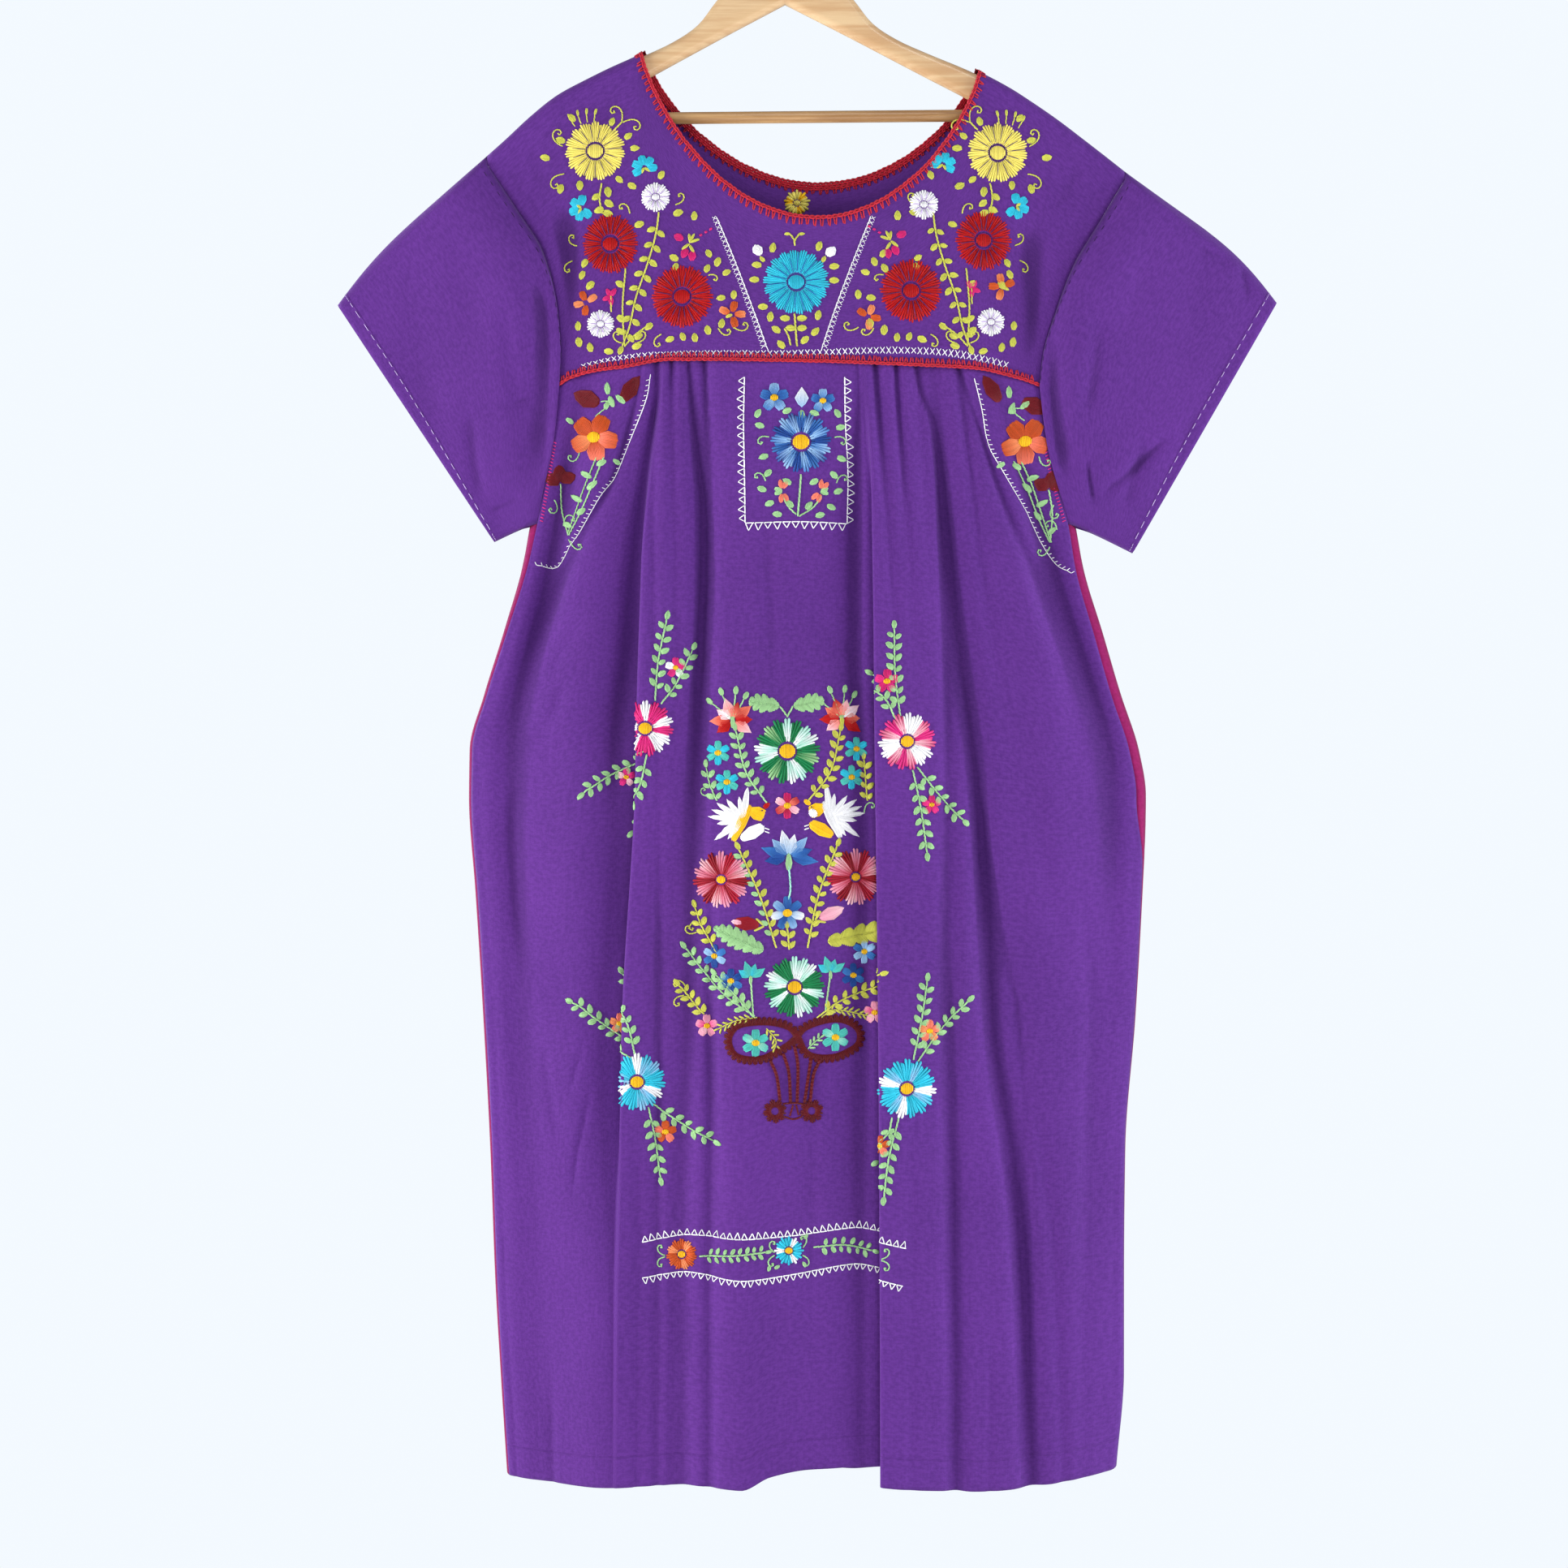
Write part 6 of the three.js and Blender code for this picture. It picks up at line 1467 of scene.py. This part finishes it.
# %% Hem band
band = Sewing("hem_band", skirt_surface, OUT, 51)
triangles(band,
          [(-122.2, -1087.1), (-85, -1080.7), (-43.3, -1083.3), (1.5, -1080.1), (36.8, -1075.6),
           (59.9, -1076.8), (118.4, -1091)], 5.0, 5.6)
triangles(band,
          [(-122.2, -1115.3), (-85, -1110.2), (-43.3, -1116), (1.5, -1110.2), (36.8, -1104.4),
           (59.9, -1105.7), (115.9, -1120.5)], 4.8, 5.6, side=-1)
daisy(band, (-90.8, -1096.7), 12.8, 3.2, 11, 4, "orange orange peach orange")
daisy(band, (-6.2, -1092.2), 11.9, 2.9, 12, 3, "teal teal teal white")
sprig(band, [(-76.1, -1097.4), (-49.8, -1096.1), (-24.8, -1093.5)], "leaf", length=5.6, width=3.2, pitch=6.0,
      lean=62)
sprig(band, [(13.7, -1089.7), (36.8, -1088.4), (59.9, -1093.5)], "leaf", length=6.0, width=3.8, pitch=7.2,
      lean=66)
curls(band,
      ((-104.3, -1097.4, 160, -1), (-104.3, -1098.7, 200, 1), (-17.7, -1093.5, 140, -1),
       (-17.7, -1096.1, 210, 1), (4.8, -1089.7, 50, 1), (4.8, -1096.1, -30, -1), (99.2, -1098.7, 20, 1),
       (99.2, -1099.9, -20, -1)), 7)
leaves(band, ((-20.9, -1103.8, 250), (-13.2, -1103.8, 210), (4.8, -1101.2, -60), (6, -1083.3, 60)), 5, 3,
       "leaf")
sewn("hem_band_flowers", band)

# %% [markdown]
# The neck is edged in red crochet: a chain along the edge, and short bars that reach over the cloth
# and hold it. A second line of crochet covers the seam between yoke and skirt. Each link of the
# chain is two bowed stitches, and each bar is two stitches side by side.

# %% Crochet
def neck_lengths(face):
    turn = np.linspace(0, np.pi, 241)
    x, z = neck_point(turn, 3, face)
    walk = np.stack([x, yoke_y(x, z, face), z], -1)
    return turn, np.concatenate([[0], np.cumsum(np.linalg.norm(np.diff(walk, axis=0), axis=1))])


NECK_WALK = {face: neck_lengths(face) for face in (-1, 1)}
FRONT_NECK, BACK_NECK = NECK_WALK[-1][1][-1], NECK_WALK[1][1][-1]


def neck_surface(face):
    turns, walked = NECK_WALK[face]

    def place(along, inset):
        x, z = neck_point(np.interp(along, walked, turns), inset, face)
        return np.stack([x, yoke_y(x, z, face), z], -1)
    return place


def seam_surface(face):
    def place(x, up):
        z = seam_z(x) + up
        return np.stack([x, yoke_y(x, np.maximum(z, seam_z(x) + 0.4), face) + face * 0.5, z], -1)
    return place


def chain(work, start, end, level, link=4.4, spread=1.0, width=1.55, colour="coral"):
    marks = np.arange(start, end, link)
    line = np.stack([marks, level + work.dice.uniform(-0.2, 0.2, len(marks))], -1)
    for hand in (-1, 1):
        work.stitch(line[:-1] - (link * 0.25, 0), line[1:] + (link * 0.1, hand * 0.3), colour,
                    width=width, bow=hand * spread, lift=1.5)


def bars(work, start, end, level, reach, pitch=5.7, colour="coral"):
    marks = np.arange(start, end, pitch) + work.dice.uniform(-0.6, 0.6, len(np.arange(start, end, pitch)))
    for hand in (-1.3, 1.3):
        foot = np.stack([marks + hand, np.full(len(marks), level)], -1)
        lean = work.dice.uniform(-0.5, 0.5, len(marks))
        tip = np.stack([marks + hand * 0.3 + lean, level + reach * work.dice.uniform(0.85, 1.12, len(marks))],
                       -1)
        work.stitch(foot, tip, colour, width=1.15, lift=1.3)


crochet_parts = []
for face, length, levels, reach in ((-1, FRONT_NECK, (0.7,), -5.2), (1, BACK_NECK, (3.1, 1.9, 0.7), -3.4)):
    for hand in (1, -1):
        edge = Sewing("neck", neck_surface(face), np.array([0, face * hand * 1.0, 0.35]), 61)
        for level in levels:
            chain(edge, level % 3, length + 3, level, width=1.6, spread=0.6,
                  colour="coral" if face < 0 else "garnet")
        bars(edge, 2, length, 0.8, reach, pitch=5.4, colour="coral" if face < 0 else "garnet")
        crochet_parts.append(edge)
neck_crochet = sewn("neck_crochet", *crochet_parts)
seam_crochet = {}
for face in (-1, 1):
    edge = Sewing("seam", seam_surface(face), np.array([0, face * 1.0, 0]), 62)
    chain(edge, -179, 204, -0.9, width=1.5, spread=0.8)
    bars(edge, -176, 202, 0.2, 4.6, pitch=4.2)
    seam_crochet[face] = sewn(f"seam_crochet_{face_name(face)}", edge)

# %% [markdown]
# Plain sewing shows too: a pale running stitch round each sleeve's hem, a fine one beside the
# armhole, and red overcast thread where sleeve, body and strip meet under the arm.

# %% Plain sewing
SLEEVE_STEP, SLEEVE_LENGTH = 12, 170     # cloth from one station to the next, and from hem to armhole


def sleeve_surface(side):
    return lambda along, up: sleeve_at(side, along / SLEEVE_STEP, 1 - up / SLEEVE_LENGTH)


def running(work, start, end, level, dash, gap, colour, width=0.6):
    marks = np.arange(start, end, dash + gap)
    work.stitch(np.stack([marks, level + 0 * marks], -1), np.stack([marks + dash, level + 0 * marks], -1),
                colour, width=width)


hem_parts = []
for side in (-1, 1):
    for face in (-1, 1):
        work = Sewing("sleeve", sleeve_surface(side), np.array([0, face * 1.0, 0]), 71)
        first, last = (6, 160) if face < 0 else (176, 330)
        running(work, first, last, 10, 2.6, 1.5, "lilac")
        first, last = (30, 106) if face < 0 else (230, 306)
        running(work, first, last, 164, 1.7, 2.0, "plum")
        hem_parts.append(work)
red_work = Sewing("underarm", skirt_surface, OUT, 72)
for side in (-1, 1):
    for z in np.arange(-452, -516, -2.6):
        reach = float(front_reach(side, np.array(z))) - 1.6
        red_work.stitch((side * reach, z), (side * (reach - 2.6), z - 1.2), "magenta", width=0.8)
sewn("plain_sewing", *hem_parts, red_work)

# %% [markdown]
# The hanger is turned wood: two arms in one flat piece with rounded edges, a dowel across, and a wire
# hook. The arms are an outline that is filled, pulled to its thickness and bevelled almost half
# round. The rail is a cylinder, and the hook a wire drawn along a curve. The hanger tilts a little.

# %% Hanger
TILT = Matrix.Rotation(math.radians(-0.5), 4, "Y")
ARM_TOP = [(0, -70), (22, -72.5), (40, -82), (55, -98), (70, -117), (90, -130.5), (115, -142),
           (140, -152.5), (158, -161), (180, -173), (195, -183.5), (203, -192.5)]
ARM_FOOT = [(205, -199), (199, -204), (188, -201.5), (143, -176.5), (108, -158), (50, -127), (0, -101)]
THICKNESS = 13
RAIL = {"radius": 4.75 * MM, "length": 0.391, "z": -0.191}
HOOK = {"wire": 1.8 * MM, "radius": 17.8, "z": -16}


def shaped(name, form):
    return finish_piece(name, poured(form, bpy.data.meshes.new(name)))


half = np.vstack([path_through(ARM_TOP, 6), path_through(ARM_FOOT, 6)])
outline = np.vstack([half, half[-2:0:-1] * (-1, 1)])
form = bmesh.new()
front = form.faces.new([form.verts.new((x * MM, -THICKNESS / 2 * MM, z * MM)) for x, z in outline])
raised = bmesh.ops.extrude_face_region(form, geom=[front], use_keep_orig=True)
back = [v for v in raised["geom"] if isinstance(v, bmesh.types.BMVert)]
bmesh.ops.translate(form, verts=back, vec=(0, THICKNESS * MM, 0))
rims = [e for e in form.edges if abs(e.verts[0].co.y - e.verts[1].co.y) < 1e-6]
bmesh.ops.bevel(form, geom=rims, offset=5.6 * MM, segments=6, profile=0.5, affect="EDGES", material=-1)
bmesh.ops.recalc_face_normals(form, faces=form.faces)
bmesh.ops.transform(form, matrix=TILT, verts=form.verts)
arms = shaped("hanger_arms_wood", form)

form = bmesh.new()
bmesh.ops.create_cone(form, cap_ends=True, segments=40, radius1=RAIL["radius"], radius2=RAIL["radius"],
                      depth=RAIL["length"])
rims = [e for e in form.edges if abs(e.verts[0].co.z - e.verts[1].co.z) < 1e-6]
bmesh.ops.bevel(form, geom=rims, offset=0.6 * MM, segments=2, profile=0.5, affect="EDGES", material=-1)
lay = TILT @ Matrix.Translation((0, 0, RAIL["z"])) @ Matrix.Rotation(math.pi / 2, 4, "Y")
bmesh.ops.transform(form, matrix=lay, verts=form.verts)
rail = shaped("hanger_rail_dowel", form)

wire = bpy.data.curves.new("hook_line", "CURVE")
wire.dimensions, wire.bevel_depth, wire.bevel_resolution = "3D", HOOK["wire"], 5
turns = np.radians(np.arange(-36, 205, 12))
bend = [(0, -83.5), (0, -68), (0, -55), (3, -44), (9.5, -34)] + [
    (HOOK["radius"] * math.cos(t), HOOK["z"] + HOOK["radius"] * math.sin(t)) for t in turns]
line = path_through(bend, 1.6)
spline = wire.splines.new("POLY")
spline.points.add(len(line) - 1)
for point, (x, z) in zip(spline.points, line):
    point.co = (*(TILT @ Vector((x * MM, 0, z * MM))), 1)
wire.use_fill_caps = True
drawn = bpy.data.objects.new("hook_line", wire)
hook = finish_piece("hanger_hook_wire", bpy.data.meshes.new_from_object(drawn))
bpy.data.objects.remove(drawn)
print("hanger:", len(arms.data.vertices), "points in the arms,", len(line), "steps in the hook")

# %% [markdown]
# Shader maths reads best as plain expressions. A small class wraps a socket, so that adding or
# scaling it adds the Math node, and one method makes every other node from its settings and inputs.

# %% Shader maths
class Wire:
    """A socket that can be added, scaled and subtracted like a number."""

    def __init__(self, finish, socket):
        self.finish, self.socket = finish, socket

    def maths(self, operation, *inputs):
        return self.finish.node("Math", {"operation": operation}, dict(enumerate(inputs)))

    def __add__(self, other):
        return self.maths("ADD", self, other)

    def __mul__(self, other):
        return self.maths("MULTIPLY", self, other)

    def __sub__(self, other):
        return self.maths("SUBTRACT", self, other)

    def __rsub__(self, other):
        return self.maths("SUBTRACT", other, self)

    __radd__, __rmul__ = __add__, __mul__

    def sine(self):
        return self.maths("SINE", self)

    def above(self, low, high):
        """Rises smoothly from 0 to 1 between two values."""
        return self.finish.node("MapRange", {"interpolation_type": "SMOOTHSTEP"}, {0: self, 1: low, 2: high})


class Finish:
    """A material built on the Principled shader. Its constants are set on the shader's own sockets."""

    def __init__(self, name, constants):
        self.material = bpy.data.materials.new(name)
        self.material.use_nodes = True
        self.tree = self.material.node_tree
        self.shader = self.tree.nodes["Principled BSDF"]
        self.shine(constants)

    def node(self, kind, settings, inputs, output=0):
        made = self.tree.nodes.new("ShaderNode" + kind)
        for setting, value in settings.items():
            setattr(made, setting, value)
        for socket, value in inputs.items():
            self.feed(made.inputs[socket], value)
        return Wire(self, made.outputs[output])

    def feed(self, socket, value):
        if isinstance(value, Wire):
            self.tree.links.new(value.socket, socket)
        else:
            socket.default_value = value

    def blend(self, share, first, second, mode="MIX"):
        return self.node("Mix", {"data_type": "RGBA", "blend_type": mode}, {0: share, 6: first, 7: second}, 2)

    def stretched(self, place, scale):
        return self.node("Mapping", {}, {"Vector": place, "Scale": scale})

    def noise(self, place, scale, detail=2.0, roughness=0.5):
        return self.node("TexNoise", {},
                         {"Vector": place, "Scale": scale, "Detail": detail, "Roughness": roughness})

    def bump(self, height, distance, strength=1.0, under=None):
        inputs = {"Height": height, "Distance": distance, "Strength": strength}
        if under is not None:
            inputs["Normal"] = under
        return self.node("Bump", {}, inputs)

    def shine(self, sockets):
        for socket, value in sockets.items():
            self.feed(self.shader.inputs[socket], value)
        return self.material


def paint(red, green, blue):
    return (*dye(red, green, blue), 1)


# %% [markdown]
# The cloth is plain-woven cotton, dyed in the piece. Close up, its warp and weft cross twice in each
# millimetre. Further off it shows slubs, thicker threads that run along or across and took the
# dye a little differently, and soft clouds of colour from washing. A hem is a fold of cloth, so a
# faint ridge runs where it ends, with a faint darker line along it that is painted shade. Where the
# cloth lies in a hollow, its colour is darkened towards a shadow colour: this is painted shade,
# weaker towards the hem of the skirt.

# %% Cotton
THREADS = 2 * math.pi / 0.0006   # one warp and one weft wave in 0.6 mm


def cotton(name, shadow, deep, light, hem=None):
    look = Finish(name, {"Sheen Weight": 0.22, "Sheen Roughness": 0.42, "Specular IOR Level": 0.22,
                         "Sheen Tint": (*mix(np.array(light[:3]), 1, 0.35), 1)})
    flat = look.node("UVMap", {"uv_map": "weave"}, {})
    across = look.node("SeparateXYZ", {}, {0: flat})
    up = Wire(look, across.socket.node.outputs[1])
    weft = look.noise(look.stretched(flat, (45, 1500, 1)), 1.0, 3.0, 0.6)
    warp = look.noise(look.stretched(flat, (1300, 30, 1)), 1.0, 3.0, 0.6)
    cloud = look.noise(look.stretched(flat, (9, 6, 1)), 1.0, 4.0, 0.55)
    mottle = look.noise(look.stretched(flat, (280, 360, 1)), 1.0, 4.0, 0.72)
    wrinkle = look.noise(look.stretched(flat, (95, 34, 1)), 1.0, 4.0, 0.62)
    slub = (weft.above(0.35, 0.72) + warp.above(0.38, 0.74)) * 0.5
    fold = look.node("Attribute", {"attribute_name": "hollow"}, {}, 2)
    colour = look.blend(slub * 0.28 + cloud.above(0.3, 0.7) * 0.24 + mottle.above(0.36, 0.64) * 0.48, deep,
                        light)
    # Painted shade: the colour is darkened towards the shadow colour where the hollow attribute marks a
    # hollow, less so low on the skirt.
    strength = 0.32 - 0.2 * (1 - up.above(0.12, 0.5)) if name.endswith("skirt") else 0.46
    colour = look.blend(fold.above(0.02, 0.6) * strength, colour, shadow)
    weave = (across * THREADS).sine() * (up * THREADS).sine()
    relief = look.bump(wrinkle, 0.0011, 0.55)
    if hem:
        ridge = up.above(hem - 0.0012, hem) * (1 - up.above(hem, hem + 0.0012))
        relief = look.bump(ridge, 0.0005, 0.8, relief)
        # Painted shade: the cloth is drawn a little darker along the hem's ridge.
        colour = look.blend(ridge * 0.25, colour, deep)
    relief = look.bump(slub, 0.0001, 0.5, relief)
    relief = look.bump(weave, 0.00006, 0.45, relief)
    return look.shine({"Base Color": colour, "Roughness": 0.78 + cloud * 0.12, "Normal": relief})


# The first of each cloth's three colours is its shadow colour, used only for the painted shade in hollows.
PURPLE = paint(38, 9, 66), paint(73, 29, 112), paint(98, 47, 140)
cottons = {
    "yoke": cotton("purple_cotton", *PURPLE), "skirt": cotton("purple_cotton_skirt", *PURPLE, hem=0.024),
    "sleeve": cotton("purple_cotton_sleeve", *PURPLE, hem=0.0125),
    "strip": cotton("magenta_cotton", paint(87, 5, 51), paint(122, 10, 76), paint(148, 20, 96))}
for name, piece in pieces.items():
    if name.endswith("_cloth"):
        kind = next(kind for kind in ("strip", "sleeve", "skirt", "yoke") if kind in name)
        piece.data.materials.append(cottons[kind])
        "side_strip" if kind == "strip" else "cloth"
        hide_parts(name.removesuffix("_cloth"))

# %% [markdown]
# Embroidery floss is loosely twisted and mercerised, so it shines along its strands. Each stitch
# carries its own colour as an attribute, which is how shaded thread changes from petal to petal.
# Crochet cotton has the same build but is harder and duller.

# %% Thread
def thread(name, roughness, sheen, fuzz):
    look = Finish(name, {"Sheen Weight": sheen, "Sheen Roughness": 0.35, "Specular IOR Level": 0.25})
    colour = look.node("Attribute", {"attribute_name": "floss"}, {}, 0)
    place = look.node("TexCoord", {}, {}, 3)
    strands = look.noise(place, 1500, 3.0, 0.6)
    shade = look.blend(strands.above(0.3, 0.75) * 0.3, colour,
                       look.blend(1.0, colour, (0.55, 0.5, 0.55, 1), "MULTIPLY"))
    return look.shine({"Base Color": shade, "Roughness": roughness + strands * 0.15,
                       "Normal": look.bump(strands, fuzz, 0.7)})


floss, crochet = thread("embroidery_floss", 0.42, 0.08, 0.00035), thread("crochet_cotton", 0.6, 0.08, 0.0005)
for name, piece in pieces.items():
    if piece.data.color_attributes:
        piece.data.materials.append(crochet if "crochet" in name else floss)
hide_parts("neck_edging")
for face, piece in seam_crochet.items():
    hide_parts(f"yoke_edging_{face_name(face)}")

# %% [markdown]
# The hanger's arms are beech under clear varnish. The grain runs along the wood, so its noise is
# stretched along X, and slower noise varies the colour across the board. The rail is the same wood,
# stained brown, and the hook is plated wire with fine drawing marks.

# %% Wood and wire
def wood(name, deep, light, coat):
    look = Finish(name, {"Coat Weight": coat, "Coat Roughness": 0.13, "Specular IOR Level": 0.4})
    place = look.node("TexCoord", {}, {}, 3)
    grain = look.noise(look.stretched(place, (9, 60, 190)), 1.0, 6.0, 0.62)
    pores = look.noise(look.stretched(place, (120, 900, 2600)), 1.0, 2.0, 0.5)
    board = look.noise(look.stretched(place, (3, 12, 14)), 1.0, 2.0, 0.5)
    colour = look.blend(grain.above(0.36, 0.66) * 0.7 + board.above(0.35, 0.65) * 0.3, deep, light)
    colour = look.blend(pores.above(0.62, 0.78) * 0.35, colour, deep)
    return look.shine({"Base Color": colour, "Roughness": 0.36 + grain * 0.16,
                       "Normal": look.bump(pores, 0.00008, 0.4, look.bump(grain, 0.0003, 0.25))})


arms.data.materials.append(wood("varnished_beech", paint(186, 144, 100), paint(212, 182, 140), 0.6))
rail.data.materials.append(wood("stained_dowel", paint(148, 106, 62), paint(200, 158, 106), 0.35))
steel = Finish("plated_wire", {"Base Color": (0.56, 0.57, 0.59, 1), "Metallic": 1.0})
drawn_marks = steel.noise(steel.stretched(steel.node("TexCoord", {}, {}, 3), (900, 900, 60)), 1.0, 3.0)
hook.data.materials.append(steel.shine({"Roughness": 0.16 + drawn_marks * 0.2,
                                        "Normal": steel.bump(drawn_marks, 0.00004, 0.4)}))
for piece, node, slot in ((arms, "hanger_arms", "hanger_wood"), (rail, "hanger_rail", "rail_wood"),
                          (hook, "hanger_hook", "hook_wire")):
    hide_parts(node)
print("materials:", len(bpy.data.materials))

# %% [markdown]
# Every piece of cloth was cut flat from plain cotton. Its flat size is kept in the UV map of the piece.

# %% [markdown]
# The dress hangs in a light room: a pale floor far below it, a pale surround, a big soft light from
# each side, the left one stronger, and weaker ones from the front, from behind and from above. The
# camera sees the surround at full strength, but it lights the dress less, so that the folds keep
# their shadows. A long lens from the height of the dress's middle keeps its outline true.

# %% Room, light and camera
form = bmesh.new()
bmesh.ops.create_circle(form, cap_ends=True, segments=96, radius=3.0)
bmesh.ops.translate(form, verts=form.verts, vec=(0, 0, -2.4))
floor = bpy.data.objects.new("floor", poured(form, bpy.data.meshes.new("floor")))
bpy.context.scene.collection.objects.link(floor)
floor_look = Finish("pale_floor", {"Roughness": 0.7})
speckle = floor_look.noise(floor_look.node("TexCoord", {}, {}, 3), 6.0, 4.0)
tone = floor_look.blend(speckle, (0.74, 0.75, 0.77, 1), (0.8, 0.8, 0.81, 1))
floor.data.materials.append(floor_look.shine({"Base Color": tone}))

world = bpy.data.worlds.new("pale_room")
world.use_nodes = True
background = world.node_tree.nodes["Background"]
background.inputs["Color"].default_value = (0.9, 0.95, 1, 1)
seen = world.node_tree.nodes.new("ShaderNodeLightPath")
level = world.node_tree.nodes.new("ShaderNodeMapRange")
level.inputs["To Min"].default_value, level.inputs["To Max"].default_value = 0.40, 1.0
world.node_tree.links.new(seen.outputs["Is Camera Ray"], level.inputs["Value"])
world.node_tree.links.new(level.outputs["Result"], background.inputs["Strength"])
bpy.context.scene.world = world
MIDDLE = Vector((0, 0, -0.76))


def soft_light(name, place, size, power, colour=(1, 1, 1)):
    lamp = bpy.data.lights.new(name, "AREA")
    lamp.size, lamp.energy, lamp.color = size, power, colour
    light = bpy.data.objects.new(name, lamp)
    light.location = place
    light.rotation_euler = (MIDDLE - Vector(place)).to_track_quat("-Z", "Y").to_euler()
    bpy.context.scene.collection.objects.link(light)


for lamp_row in (
        ("left_window", (-2.3, -0.75, -0.9), 1.3, 80, (1, 0.985, 0.96)),
        ("right_window", (2.3, -0.6, -0.8), 1.3, 64, (0.97, 0.985, 1)),
        ("front_fill", (0.3, -2.6, -1.9), 1.6, 22), ("behind", (-2.1, 1.5, -0.4), 1.3, 60),
        ("ceiling", (0.2, -1.5, 1.1), 0.9, 12)):
    soft_light(*lamp_row)
bpy.context.scene.view_settings.view_transform = "Standard"

lens = bpy.data.cameras.new("camera")
lens.sensor_width, lens.lens = 36, 68.8
camera = bpy.data.objects.new("camera", lens)
camera.location, camera.rotation_euler = (0, -2.4, -0.725), (math.pi / 2, 0, 0)
bpy.context.scene.collection.objects.link(camera)
bpy.context.scene.camera = camera
